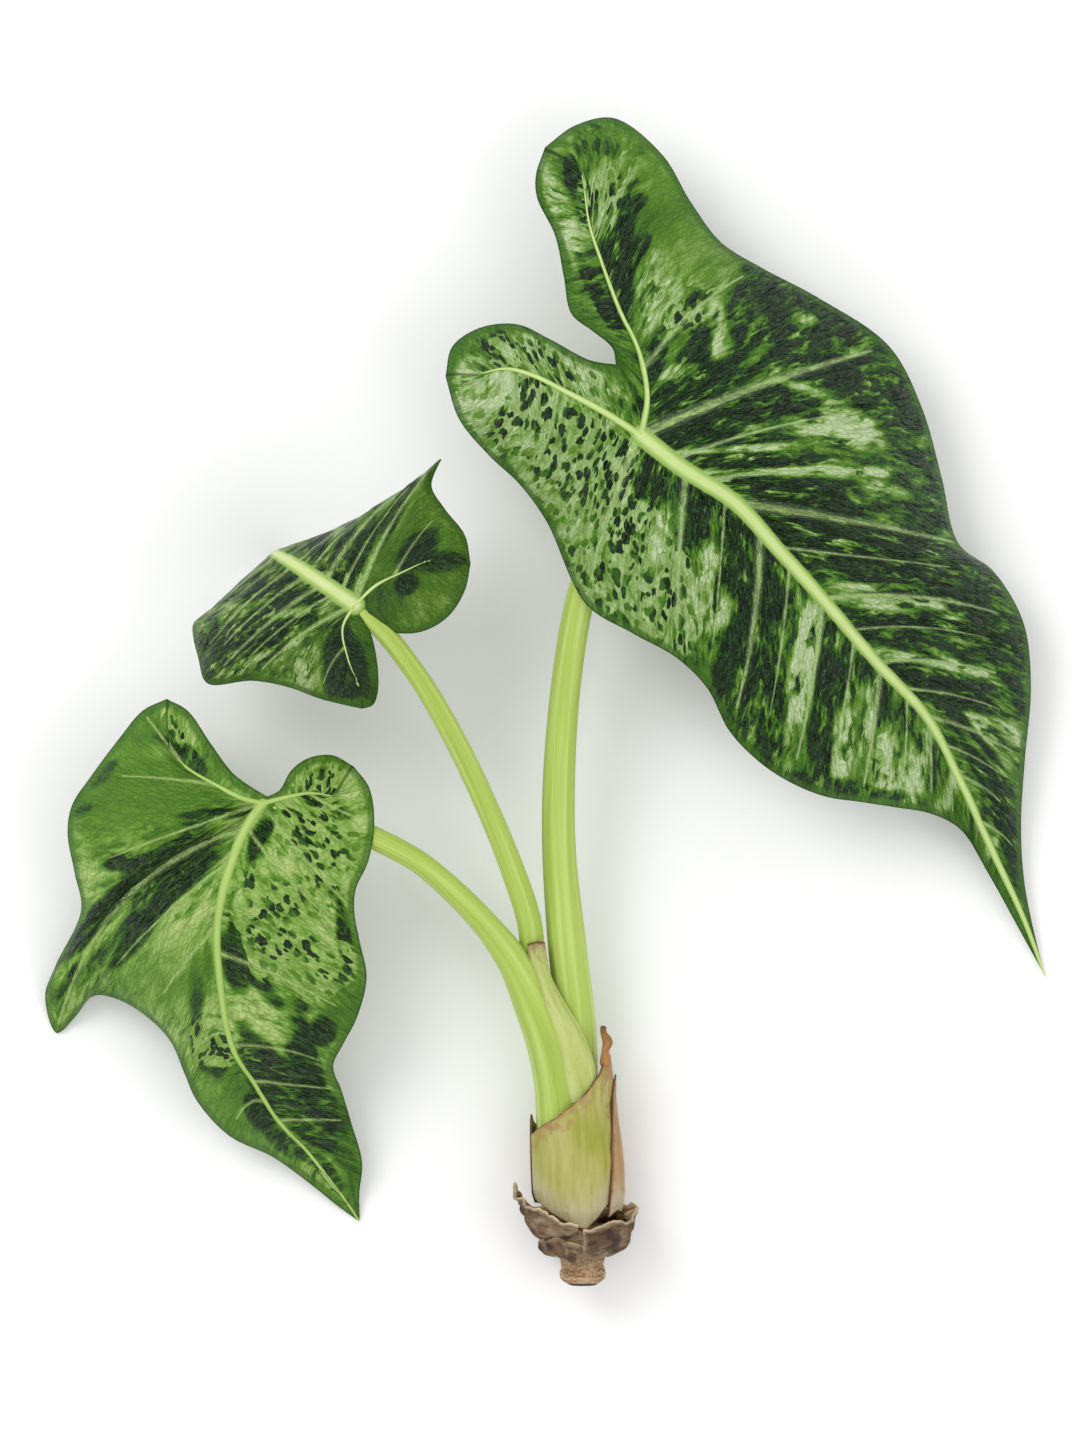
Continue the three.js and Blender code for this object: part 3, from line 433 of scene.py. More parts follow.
def stalk(name, stations, material, slot, foot_end, rings=260, sides=48, crumple=0.0, seed=1,
          stands_for=None):
    """A stalk of elliptic section: each station is (x, y, z, half width, half depth)."""
    table = np.asarray(stations, dtype=float)
    place = np.linspace(0, 1, rings)
    path = through(table[:, :3], place)
    half = through(np.column_stack([table[:, 3:], np.zeros(len(table))]), place)
    ahead = unit(np.gradient(path, axis=0))
    across = unit(np.cross([0, 0, 1], ahead))
    up = np.cross(ahead, across)
    turn = np.linspace(0, 2 * np.pi, sides, endpoint=False)
    close = np.sqrt(np.clip(1 - np.maximum(0, 1 - np.minimum(place, 1 - place) * rings / 4) ** 2, 0.0004, 1))
    out = (across[:, None] * (half[:, 0:1] * np.cos(turn))[..., None]
           + up[:, None] * (half[:, 1:2] * np.sin(turn))[..., None]) * close[:, None, None]
    points = (path[:, None] + out).reshape(-1, 3)
    length = np.concatenate([[0], np.cumsum(np.linalg.norm(np.diff(path, axis=0), axis=1))])
    ring_length = np.repeat(length, sides)
    spin = np.tile(turn, rings)
    grain = np.column_stack([np.cos(spin) * 5, ring_length, np.sin(spin) * 5 + seed * 11])
    grooved = np.column_stack([np.cos(spin) * 2.4, np.sin(spin) * 2.4, ring_length / 90])
    swell = rough(grooved, 1, seed) * (0.12 + crumple)
    points = points + unit(out.reshape(-1, 3)) * swell[:, None]
    faces = grid_faces(rings, sides, True).tolist()
    faces += [list(range(sides))[::-1], list(range((rings - 1) * sides, rings * sides))]
    foot = np.clip((foot_end - points[:, 1]) / 18, 0, 1)
    top_gap = length[-1] - ring_length
    piece(name, points, faces, material, stands_for or name, slot, grain=grain, foot=foot,
          top_gap=top_gap, rim=np.clip(top_gap * 0.45, 0.2, 3), under=np.zeros(len(points)),
          low_gap=np.full(len(points), 20.0), side_gap=np.full(len(points), 20.0))


TWISTED_TIP = [
    (17.6, -109, 23.2, 1.9, 1.6), (17.7, -104, 24.2, 1.1, 1.1), (18.3, -101.5, 24.6, 1.5, 0.9),
    (17.2, -99, 25, 0.9, 0.8), (17, -96.7, 25.3, 0.8, 0.7),
]
green = stalk_material("living petiole", "#c6d888", "#a8bf52", "#8ba834", "#c4cb80")
BIG_STALK = [
    (10, -147, 15, 5, 5), (10, -120, 16.5, 5.6, 5.2), (9, -97, 19, 6, 5.6), (6.3, -72.5, 22.5, 5.8, 5.3),
    (3.9, -45, 26, 5.1, 4.8), (3.8, -24.5, 29, 4.9, 4.6), (5.7, 3, 33.5, 4.5, 4.2), (9.5, 27.7, 38.5, 4.3, 4),
    (16, 50, 44.5, 4.1, 3.8), (22.5, 67, 51, 3.9, 3.7), (26.5, 76.5, 56, 3.4, 3),
]
MIDDLE_STALK = [
    (2, -108, 10, 3.4, 3), (-1, -95, 14.5, 3.6, 3.3), (-3.6, -80, 21, 3.7, 3.5), (-5, -65.6, 27.5, 3.7, 3.6),
    (-10.5, -48.5, 35.5, 3.6, 3.5), (-17.4, -31.4, 43, 3.4, 3.3), (-25.8, -13.4, 51, 3.3, 3.2),
    (-36, 4.7, 59, 3.1, 3), (-46.5, 19, 66, 3, 2.9), (-52.5, 25, 70, 2.6, 2.4), (-55, 27.5, 72, 2, 1.8),
]
LOWER_STALK = [
    (10, -152, 15, 6, 8), (8.8, -146, 15, 8.5, 10), (7.5, -136, 15, 9.3, 11), (5.9, -126, 15.5, 8.8, 11),
    (4.5, -114, 16.8, 8.1, 10.2), (1.6, -102, 19.2, 7.5, 8.8), (-3, -90, 22.5, 6.8, 6.6),
    (-9.3, -78, 26.5, 5, 4.4), (-17.4, -67, 30.5, 4, 3.7), (-27.9, -56, 35, 3.6, 3.4),
    (-38, -47.5, 39, 3.4, 3.3), (-50.7, -40.6, 43.3, 3.4, 3.2), (-62, -35.5, 47, 3.2, 3.1),
    (-74, -32, 51, 3, 2.9), (-82.5, -30.5, 54.5, 2.4, 2.2),
]
WITHERED = [
    (11, -120, 24.5, 5.4, 2), (9, -108, 25.6, 5.2, 2.2), (6, -99, 26, 4.4, 2.2), (2, -90, 27, 3.2, 2),
    (-0.8, -82, 28, 2.3, 1.7), (-2.4, -76, 28.6, 2.7, 1.4), (-3, -71.6, 29, 2.6, 1),
]
stalk("big_petiole", BIG_STALK, green, "leaf_stalk", -110, seed=1)
stalk("middle_petiole", MIDDLE_STALK, green, "leaf_stalk", -110, seed=2)
stalk("lower_petiole", LOWER_STALK, green, "leaf_stalk", -128, seed=3)
withered = sheath_material("withered cataphyll", "#bcc478", "#a4b456", "#a08a5e", "#5a4026", 0.05)
dead_tip = sheath_material("dead cataphyll tip", "#b98444", "#9c6a34", "#84562c", "#4c3018", 0.25)
stalk("twisted_tip", TWISTED_TIP, dead_tip, "papery_sheath", -200, rings=60, sides=24, crumple=0.2, seed=5,
      stands_for="outer_cataphyll")
stalk("inner_cataphyll", WITHERED, withered, "dry_sheath", -200, crumple=0.25, seed=4)


# ---------------------------------------------------------------- leaf blades
# Thin glossy blades, marbled because some of their cells lack chlorophyll. A thick pale midrib and two lobe
# ribs start at the stalk. The blade is quilted between its lateral veins and has a plain green rim.
# A vein is [place on the rib, its middle, its end on the margin]. The place runs 0 to 1 from the stalk to
# the end of the rib; an outer vein with a negative place leaves the lobe rib, with a positive one the midrib.

# The large arrow-shaped leaf. Its blade arches over its stalk and its tip hangs to the surface.
BIG_TIP = [150.5, -83, 0.8]
BIG_LEAF = {
    "midrib": [
        [28, 79, 58], [40, 69.5, 60], [56, 59, 61], [68, 46, 60], [82, 30.5, 56], [98, 12, 48],
        [113, -4, 38], [123, -22, 27], [134, -45, 14], [144, -66, 5], BIG_TIP,
    ],
    "right": {
        "rib": [[28, 79, 58], [30, 90, 56], [27.5, 104, 52], [22, 116, 48], [16.5, 131, 43],
                [13, 142, 40], [11, 157, 35]],
        "outer": [
            [-1, [6, 162, 31], [-0.3, 165.8, 27]],
            [-0.92, [11.5, 165, 31.5], [8.7, 172.4, 26]],
            [-0.82, [18, 163, 34], [20.4, 174.5, 27]],
            [-0.7, [25.5, 154, 36.5], [34.8, 163.4, 29]],
            [-0.56, [31, 142, 40], [43.2, 149.3, 31]],
            [-0.42, [37, 129, 44], [52.2, 137.3, 31]],
            [-0.27, [45, 117, 48], [64.2, 129.8, 30]],
            [-0.13, [54, 106, 50], [81, 121, 28]],
            [0, [64, 94, 51], [102.5, 106.5, 25]],
            [0.08, [74, 83, 52], [112.5, 88, 22]],
            [0.14, [84, 69, 52], [118.5, 67, 20]],
            [0.2, [92, 53.5, 50], [123.5, 47.5, 20]],
            [0.3, [104, 42, 46], [134, 39.2, 19]],
            [0.4, [113, 31, 42], [143, 24, 17]],
            [0.5, [122, 11.5, 35], [145.4, 5, 14]],
            [0.6, [128.5, -9, 27.5], [143.7, -17.3, 11]],
            [0.7, [133, -27, 19.5], [142.7, -37, 7.5]],
            [0.8, [139, -48, 10], [143.8, -54, 5]],
            [0.9, [145.5, -67.5, 4], [147, -70, 3]],
            [1, BIG_TIP, BIG_TIP],
        ],
        "inner": [
            [0, [25.5, 90, 57], [20.7, 100.1, 54]],
            [0.2, [24, 99, 54.5], [19.7, 105, 52]],
            [0.38, [20, 109, 51], [14, 110, 49]],
            [0.5, [15, 116, 47.5], [7.5, 115.5, 45]],
            [0.65, [11, 128, 43], [5.2, 127, 41]],
            [0.8, [8.3, 139.5, 39.5], [2.7, 139, 37]],
            [0.9, [5, 149, 36.5], [-2.7, 150.5, 33.5]],
            [0.95, [4, 155.5, 34], [-3, 157.5, 30.5]],
            [1, [6, 162, 31], [-0.3, 165.8, 27]],
        ],
    },
    "left": {
        "rib": [[28, 79, 58], [17, 86, 57], [6, 92, 54], [-4, 97, 50], [-12, 99, 46], [-20, 97.5, 41]],
        "outer": [
            [-1, [-25, 97.3, 38], [-30, 97.1, 34]],
            [-0.85, [-20, 90, 41], [-26, 84.5, 35]],
            [-0.65, [-9, 83, 46], [-17, 73.5, 36]],
            [-0.45, [0, 77, 49.5], [-8, 65, 38]],
            [-0.22, [10, 69, 53], [0, 54, 41]],
            [0, [18, 54, 55], [12, 29, 45]],
            [0.06, [28, 47, 57], [26, 20.3, 46]],
            [0.11, [39.5, 43, 58], [39, 13, 45]],
            [0.18, [51, 32, 57], [48, 4, 43]],
            [0.26, [61, 19, 54], [54.5, -8.5, 40]],
            [0.33, [69, 11, 51], [63.5, -17.8, 37]],
            [0.4, [78.5, 2.5, 48], [73, -24, 34]],
            [0.46, [88, -5, 44], [83.5, -28.2, 31]],
            [0.51, [97, -11, 40], [94, -29.8, 28.5]],
            [0.56, [107, -15.5, 36], [105, -31.5, 26.5]],
            [0.61, [115, -19.5, 32], [115, -33.3, 24]],
            [0.7, [123, -30.5, 23.5], [124, -38, 19.5]],
            [0.8, [133, -48.5, 12.5], [132.5, -51, 11]],
            [0.9, [143, -67.5, 4.6], [142, -67.8, 4.2]],
            [1, BIG_TIP, BIG_TIP],
        ],
        "inner": [
            [0, [25.5, 90, 57], [20.7, 100.1, 54]],
            [0.2, [15.5, 94, 54.5], [13, 101.5, 51]],
            [0.4, [2, 101, 50], [1, 108, 45]],
            [0.6, [-7, 105, 45], [-9, 112.6, 39]],
            [0.8, [-16.5, 105, 41], [-20, 111.5, 35.5]],
            [0.92, [-23.5, 101.5, 38], [-28, 106, 34]],
            [1, [-25, 97.3, 38], [-30, 97.1, 34]],
        ],
    },
}

# The leaf at the upper left. Its blade bends over a crest and hangs behind it down to the surface.
MIDDLE_TIP = [-75, 39, 0.2]
MIDDLE_LEAF = {
    "midrib": [
        [-56.4, 28.6, 74], [-65.5, 34.8, 72.5], [-74.5, 40.8, 66], [-79.8, 43.9, 54], [-80.5, 44.2, 38],
        [-78, 42, 20], MIDDLE_TIP,
    ],
    "right": {
        "rib": [[-56.4, 28.6, 74], [-50, 34.5, 74], [-42, 38.5, 72], [-33, 43, 68]],
        "outer": [
            [-1, [-28, 42, 66], [-22.3, 41, 62]],
            [-0.8, [-31.5, 46.5, 67], [-24, 49.4, 61.5]],
            [-0.55, [-37.5, 49, 68], [-29.8, 57, 60]],
            [-0.25, [-42, 50.5, 68.5], [-33.9, 64, 58]],
            [0, [-45.5, 53, 67.5], [-31.2, 72.2, 53]],
            [0.17, [-52, 54.5, 65], [-37, 66, 49]],
            [0.33, [-60.5, 51.5, 58], [-45, 59.5, 42]],
            [0.5, [-68, 49, 45], [-54, 53.5, 32]],
            [0.67, [-72, 47, 31], [-62, 48.5, 20]],
            [0.83, [-75, 43.5, 16], [-70, 43, 9]],
            [1, MIDDLE_TIP, MIDDLE_TIP],
        ],
        "inner": [
            [0, [-54.8, 26, 73], [-52.5, 23, 70]],
            [0.3, [-50, 27, 72], [-46, 20.6, 68]],
            [0.55, [-42, 29.5, 71], [-37, 20.7, 66]],
            [0.75, [-36, 33.5, 69], [-29, 25.2, 64]],
            [0.9, [-31, 37.5, 67], [-24, 33, 62.5]],
            [1, [-28, 42, 66], [-22.3, 41, 62]],
        ],
    },
    "left": {
        "rib": [[-56.4, 28.6, 74], [-60, 22, 73], [-58.5, 13, 71], [-55, 5, 67]],
        "outer": [
            [-1, [-54.7, 1.5, 65.3], [-54.5, -2, 63]],
            [-0.8, [-59.5, 6, 67], [-60, -0.8, 62]],
            [-0.55, [-64, 10, 68.5], [-67, 1, 61]],
            [-0.25, [-69, 14, 69], [-76, 4.3, 58]],
            [0, [-74, 18.5, 68], [-87, 6.3, 54]],
            [0.17, [-83, 22.5, 65], [-100.5, 5.5, 47]],
            [0.33, [-90.5, 27.5, 58], [-103.5, 13, 41]],
            [0.42, [-93, 30.5, 52], [-105.3, 23, 35]],
            [0.5, [-92, 34, 45], [-102, 26, 29]],
            [0.67, [-88, 37.5, 31], [-94, 31, 19]],
            [0.83, [-82, 39.5, 16], [-85, 36.5, 9]],
            [1, MIDDLE_TIP, MIDDLE_TIP],
        ],
        "inner": [
            [0, [-54.8, 26, 73], [-52.5, 23, 70]],
            [0.33, [-55.5, 20.5, 72], [-50.8, 17, 69]],
            [0.66, [-54, 12, 70], [-49.6, 9, 67]],
            [0.85, [-53, 6.5, 68], [-49.8, 2.5, 65]],
            [0.93, [-53.5, 3.5, 66.7], [-51.3, -1, 63.7]],
            [1, [-54.7, 1.5, 65.3], [-54.5, -2, 63]],
        ],
    },
}

# The leaf at the lower left, broad on its left side. A corner and the tip hang to the surface.
LOWER_TIP = [-56.1, -156.2, 0.8]
LOWER_LEAF = {
    "midrib": [
        [-84, -30, 56], [-88.8, -36.8, 57.5], [-94.8, -52.7, 57], [-97.5, -66.5, 53], [-96.9, -82.4, 46],
        [-93.6, -102.5, 34], [-87.6, -113, 27], [-80.1, -125.3, 19], [-71.7, -134.3, 12.5],
        [-60.6, -149.3, 3.5], LOWER_TIP,
    ],
    "right": {
        "rib": [[-84, -30, 56], [-77, -28.2, 56], [-70, -27, 54.5], [-63, -28, 52]],
        "outer": [
            [-1, [-60, -23.5, 49.8], [-57, -19.2, 47]],
            [-0.85, [-59, -27.3, 50], [-52.5, -25.5, 46.5]],
            [-0.65, [-60.5, -32.5, 51], [-51, -36, 47]],
            [-0.45, [-63.5, -38, 52], [-52.8, -47.3, 47]],
            [-0.2, [-67, -43, 53], [-56.5, -55.5, 46]],
            [0, [-70.5, -47.5, 53.5], [-57, -62, 45]],
            [0.1, [-74, -55, 53.5], [-55.5, -70.7, 43.5]],
            [0.25, [-77, -68, 51], [-53.4, -82, 40]],
            [0.35, [-78.5, -82, 45.5], [-56.4, -94.1, 35]],
            [0.43, [-79, -92.5, 40], [-60.5, -102, 30]],
            [0.5, [-79, -103.5, 34], [-63.6, -108.8, 26]],
            [0.6, [-74.5, -114.5, 26], [-61.2, -116, 21.5]],
            [0.7, [-69, -125, 18.5], [-58.5, -125.5, 16]],
            [0.8, [-63, -135.5, 11.5], [-55.2, -138, 9.5]],
            [0.9, [-58.5, -147, 4.5], [-56.1, -147.5, 4]],
            [1, LOWER_TIP, LOWER_TIP],
        ],
        "inner": [
            [0, [-83.2, -29, 56], [-82.5, -28, 56]],
            [0.25, [-78.7, -27.3, 56], [-78.9, -26, 56]],
            [0.45, [-75, -24.5, 55], [-75.6, -20.3, 54]],
            [0.65, [-70.5, -22, 53.5], [-70.5, -16.6, 51.5]],
            [0.85, [-65, -21.7, 51.5], [-63.3, -15.8, 48.5]],
            [1, [-60, -23.5, 49.8], [-57, -19.2, 47]],
        ],
    },
    "left": {
        "rib": [[-84, -30, 56], [-90, -28.5, 56], [-98, -24.5, 54], [-106.5, -19.5, 50], [-112, -14, 46]],
        "outer": [
            [-1, [-113, -6, 42], [-113, 1, 38]],
            [-0.85, [-115, -9.5, 42], [-120.3, -2.6, 36]],
            [-0.7, [-116, -15.5, 43], [-127.2, -10.7, 34]],
            [-0.5, [-116, -22.5, 45], [-135.6, -21.8, 31]],
            [-0.3, [-116, -28, 46], [-141.6, -30.8, 28]],
            [-0.15, [-116, -34, 46.5], [-143, -39, 26]],
            [0, [-116, -41, 46], [-141, -51, 23]],
            [0.04, [-116, -47.5, 44], [-139.2, -62, 19]],
            [0.07, [-121, -54, 37.5], [-147.5, -79.5, 8]],
            [0.085, [-124, -57, 35.5], [-150.6, -88.5, 4]],
            [0.1, [-126.5, -60, 33], [-147.3, -99.5, 0.8]],
            [0.125, [-122, -65, 36], [-141.5, -94.5, 4]],
            [0.16, [-117.5, -67, 40], [-136, -88.2, 9]],
            [0.22, [-113.5, -71, 43], [-128, -89.2, 15]],
            [0.3, [-108.5, -79, 42.5], [-118.8, -94.7, 20]],
            [0.4, [-105, -91, 37.5], [-112.2, -101.6, 23]],
            [0.48, [-102, -101, 33], [-108, -111.5, 22]],
            [0.55, [-97.5, -111.5, 28], [-104.5, -119.5, 18]],
            [0.65, [-90, -121, 22.5], [-95, -130, 13.5]],
            [0.75, [-79.5, -131.5, 15], [-82, -136.5, 10]],
            [0.85, [-69, -140, 8.5], [-70.5, -145, 5.5]],
            [0.93, [-62, -149.5, 3.6], [-62.5, -151.6, 2.5]],
            [1, LOWER_TIP, LOWER_TIP],
        ],
        "inner": [
            [0, [-83.2, -29, 56], [-82.5, -28, 56]],
            [0.15, [-86.5, -27.7, 56], [-86, -26, 55.5]],
            [0.4, [-93.2, -24, 54.5], [-92.7, -21.2, 53.5]],
            [0.65, [-100.5, -17, 51], [-99.6, -12.2, 49]],
            [0.85, [-107.5, -10.5, 46], [-106.5, -2.6, 43]],
            [1, [-113, -6, 42], [-113, 1, 38]],
        ],
    },
}


def gap_to(points, line, widths):
    """Distance from each point to a line in mm, and the line's half width at the nearest place."""
    start, step = line[:-1], np.diff(line, axis=0)
    square = np.maximum((step ** 2).sum(axis=1), 1e-9)
    gap, half = np.empty(len(points)), np.empty(len(points))
    for first in range(0, len(points), 4000):
        apart = points[first:first + 4000, None] - start[None]
        share = np.clip(np.einsum("ijk,jk->ij", apart, step) / square, 0, 1)
        gaps = np.linalg.norm(apart - share[..., None] * step[None], axis=2)
        nearest = gaps.argmin(axis=1)
        each = np.arange(len(nearest))
        gap[first:first + 4000] = gaps[each, nearest]
        half[first:first + 4000] = (widths[:-1] + share * np.diff(widths))[each, nearest]
    return gap, half


def nearest_of(found):
    """Of several (gap, half width) results, the one whose line is nearest in half widths."""
    gaps, halves = (np.array([f[k] for f in found]) for k in (0, 1))
    best = (gaps / halves).argmin(axis=0)
    each = np.arange(len(best))
    return gaps[best, each], halves[best, each]


VEIN_POINTS = 31


def bent_line(root, middle, end, share):
    """The curve that leaves `root` at share 0, passes `middle` at one half and ends at `end`."""
    return (root * (1 - share) * (1 - 2 * share) + middle * 4 * share * (1 - share)
            + end * share * (2 * share - 1))


def vein_at(rib, veins, place):
    """A dense line along the vein that leaves the ribs at `place`."""
    order = [v[0] for v in veins]
    k = np.interp(place, order, np.linspace(0, 1, len(veins)))
    root = through(rib, np.array([abs(place)]))
    middle = through([vein[1] for vein in veins], np.array([k]))
    end = through([vein[2] for vein in veins], np.array([k]))
    return bent_line(root, middle, end, np.linspace(0, 1, VEIN_POINTS)[:, None])


def painted(points, strokes, base):
    """Blends listed strokes: each is x, y, half length, half width, direction in degrees, value."""
    total = np.full(len(points), 0.25 * base)
    weight = np.full(len(points), 0.25)
    for x, y, length, width, direction, value in strokes:
        turn = np.radians(direction)
        east, north = points[:, 0] - x, points[:, 1] - y
        ahead = (east * np.cos(turn) + north * np.sin(turn)) / length
        aside = (north * np.cos(turn) - east * np.sin(turn)) / width
        share = np.exp(-(ahead ** 2 + aside ** 2) ** 1.6)
        total += share * value * 3
        weight += share * 3
    return total / weight


INNER_PATTERN = 400  # how far the pattern of the inner strips is shifted, so that it doesn't repeat the outer


def length_along(line):
    """The length of a line up to each of its points."""
    return np.concatenate([[0], np.cumsum(np.linalg.norm(np.diff(line, axis=0), axis=1))])


def blade(name, leaf, material, laterals, strokes, base, cells, step=1.0, rib_width=2.4,
          lobe_share=0.55, seed=1):
    """A leaf blade as one closed mesh, with where its ribs, veins, rim and markings lie."""
    midrib = leaf["midrib"]
    sides = ("right", "left")
    on_midrib = sorted({abs(v[0]) for s in sides for v in leaf[s]["outer"] if v[0] >= 0}
                       | {vein[1] for vein in laterals if vein[1] >= 0})

    def divided(places, lines):
        fine = []
        for low, high in zip(places[:-1], places[1:]):
            span = [np.abs(np.diff(np.interp([low, high], *line))[0]) for line in lines]
            count = max(1, int(np.ceil(max(span) / step)))
            fine += list(np.linspace(low, high, count, endpoint=False))
        return fine + [places[-1]]

    def lengths(veins):
        order = np.array([vein[0] for vein in veins], dtype=float)
        lines = (through([vein[k] for vein in veins], np.linspace(0, 1, len(veins))) for k in (1, 2))
        return [(order, length_along(line)) for line in lines]

    mid_lines = sum((lengths([v for v in leaf[s]["outer"] if v[0] >= 0]) for s in sides), [])
    mid_stops = divided(on_midrib, mid_lines)
    half_lengths = (np.linalg.norm(np.subtract(v[2], v[1])) for s in sides for v in leaf[s]["outer"])
    widest = 2 * max(half_lengths)
    rows = int(widest / step)
    share = np.linspace(0, 1, rows + 1)
    all_points, all_quads, all_across, all_down = [], [], [], []
    total = 0
    for side in sides:
        data = leaf[side]
        outer, inner = data["outer"], data["inner"]
        on_lobe_rib = {-vein[1] for vein in laterals if vein[0] == side and vein[1] < 0}
        on_lobe_veins = [vein for vein in outer if vein[0] <= 0]
        lobe_places = sorted({-vein[0] for vein in on_lobe_veins} | {vein[0] for vein in inner} | on_lobe_rib)
        mirrored = [(-order[::-1], -line[::-1]) for order, line in lengths(on_lobe_veins)]
        lobe_stops = divided(lobe_places, mirrored + lengths(inner))
        outer_stops = [-p for p in lobe_stops[:0:-1]] + mid_stops
        for veins, places, is_inner in ((outer, outer_stops, False), (inner, lobe_stops, True)):
            places = np.array(places)
            on_lobe = (places < 0) | is_inner
            from_rib = np.abs(places)
            root = np.where(on_lobe[:, None], through(data["rib"], from_rib), through(midrib, from_rib))
            k = np.interp(places, [vein[0] for vein in veins], np.linspace(0, 1, len(veins)))
            middle = through([vein[1] for vein in veins], k)
            end = through([vein[2] for vein in veins], k)
            grid = bent_line(root[:, None], middle[:, None], end[:, None], share[None, :, None])
            length = np.linalg.norm(end - root, axis=1)
            along_middle = length_along(middle)
            if not is_inner:
                along_middle -= np.interp(0, places, along_middle)
            sign = 1 if side == "right" else -1
            offset = INNER_PATTERN if is_inner else 0
            all_across.append(np.repeat(along_middle * sign + offset, rows + 1))
            all_down.append((length[:, None] * share).ravel())
            quads = grid_faces(len(places), rows + 1, False) + total
            # grid_faces walks across first, so the right side is turned to face up
            all_quads.append(quads[:, ::-1] if side == "right" else quads)
            all_points.append(grid.reshape(-1, 3))
            total += len(places) * (rows + 1)
    points = np.concatenate(all_points)
    _, first, where = np.unique(np.round(points, 3), axis=0, return_index=True, return_inverse=True)
    where = where.reshape(-1)
    quads = where[np.concatenate(all_quads)]
    across, down = np.concatenate(all_across)[first], np.concatenate(all_down)[first]
    points = points[first]
    quads = fix_corners(quads)
    if normals_of(points, quads)[:, 2].mean() < 0:
        quads = quads[:, ::-1]

    found = [gap_to(points, through(midrib, np.linspace(0, 1, 90)), rib_width * np.linspace(1, 0.2, 90))]
    for side in sides:
        lobe = through(leaf[side]["rib"], np.linspace(0, 1, 60))
        found.append(gap_to(points, lobe, rib_width * lobe_share * np.linspace(1, 0.2, 60)))
    rib_gap, rib_half = nearest_of(found)
    rib = rib_gap / rib_half
    found = []
    for side, place, width, reach in laterals:
        data = leaf[side]
        line = vein_at(data["rib"] if place < 0 else midrib, data["outer"], place)
        line = line[:max(2, int(VEIN_POINTS * reach))]
        found.append(gap_to(points, line, width * np.linspace(1, 0.35, len(line))))
    vein_gap, vein_half = nearest_of(found)
    vein_share = vein_gap / vein_half
    edge_line = margin_line(leaf)
    edge, _ = gap_to(points, edge_line, np.ones(len(edge_line)))

    # the blade bulges between its veins, and its ribs stand a little proud of the valleys beside them
    flow = np.column_stack([across, down, np.full(len(across), seed * 40.0)])
    proud = (rib_half / rib_width) ** 1.5
    quilt = 0.5 * (1 - np.exp(-(vein_gap / 3.0) ** 2)) - 0.45 * proud * np.exp(-((rib_gap - 3.6) / 1.5) ** 2)
    quilt += 0.5 * proud * np.exp(-(rib_gap / 2.0) ** 2)
    ripples = rough(flow * [0.45, 0.09, 1], 1, seed, 2) * 0.28
    wave = rough(points / 9, 1, seed + 3, 2) * 0.3
    calm = np.clip(edge / 6, 0, 1) * np.clip(rib_gap / 4, 0.3, 1)
    lift = quilt * np.clip(edge / 6, 0, 1) + (ripples + wave) * calm
    thick = 0.45 + (1.6 * proud * np.exp(-(rib_gap / 2.2) ** 2) * np.clip(edge / 8, 0, 1)
                    + 0.3 * np.exp(-(vein_gap / 1.5) ** 2))
    zone = painted(points, strokes, base)
    round_cells = painted(points, cells, 0.0)
    points, faces, under = closed_sheet(points, quads, thick, lift)
    piece(name, points, faces, material, name, "leaf_blade", under=under, flow=flow, rib=rib, vein=vein_share,
          edge=edge, zone=zone, cells=round_cells)


def fix_corners(quads):
    """Quads whose corners have met become triangles written as quads with a repeated corner."""
    kept = []
    for a, b, c, d in quads.tolist():
        corners = [a]
        for p in (b, c, d):
            if p != corners[-1]:
                corners.append(p)
        if corners[0] == corners[-1]:
            corners.pop()
        if len(set(corners)) == 4:
            kept.append(corners)
        elif len(set(corners)) == 3:
            kept.append([*corners, corners[-1]])
    return np.array(kept)


def margin_line(leaf):
    """The whole outline of a blade as a dense line."""
    lines = []
    for side in ("right", "left"):
        for key in ("outer", "inner"):
            ends = [v[2] for v in leaf[side][key]]
            lines.append(through(ends, np.linspace(0, 1, len(ends) * 14)))
    return np.concatenate(lines)


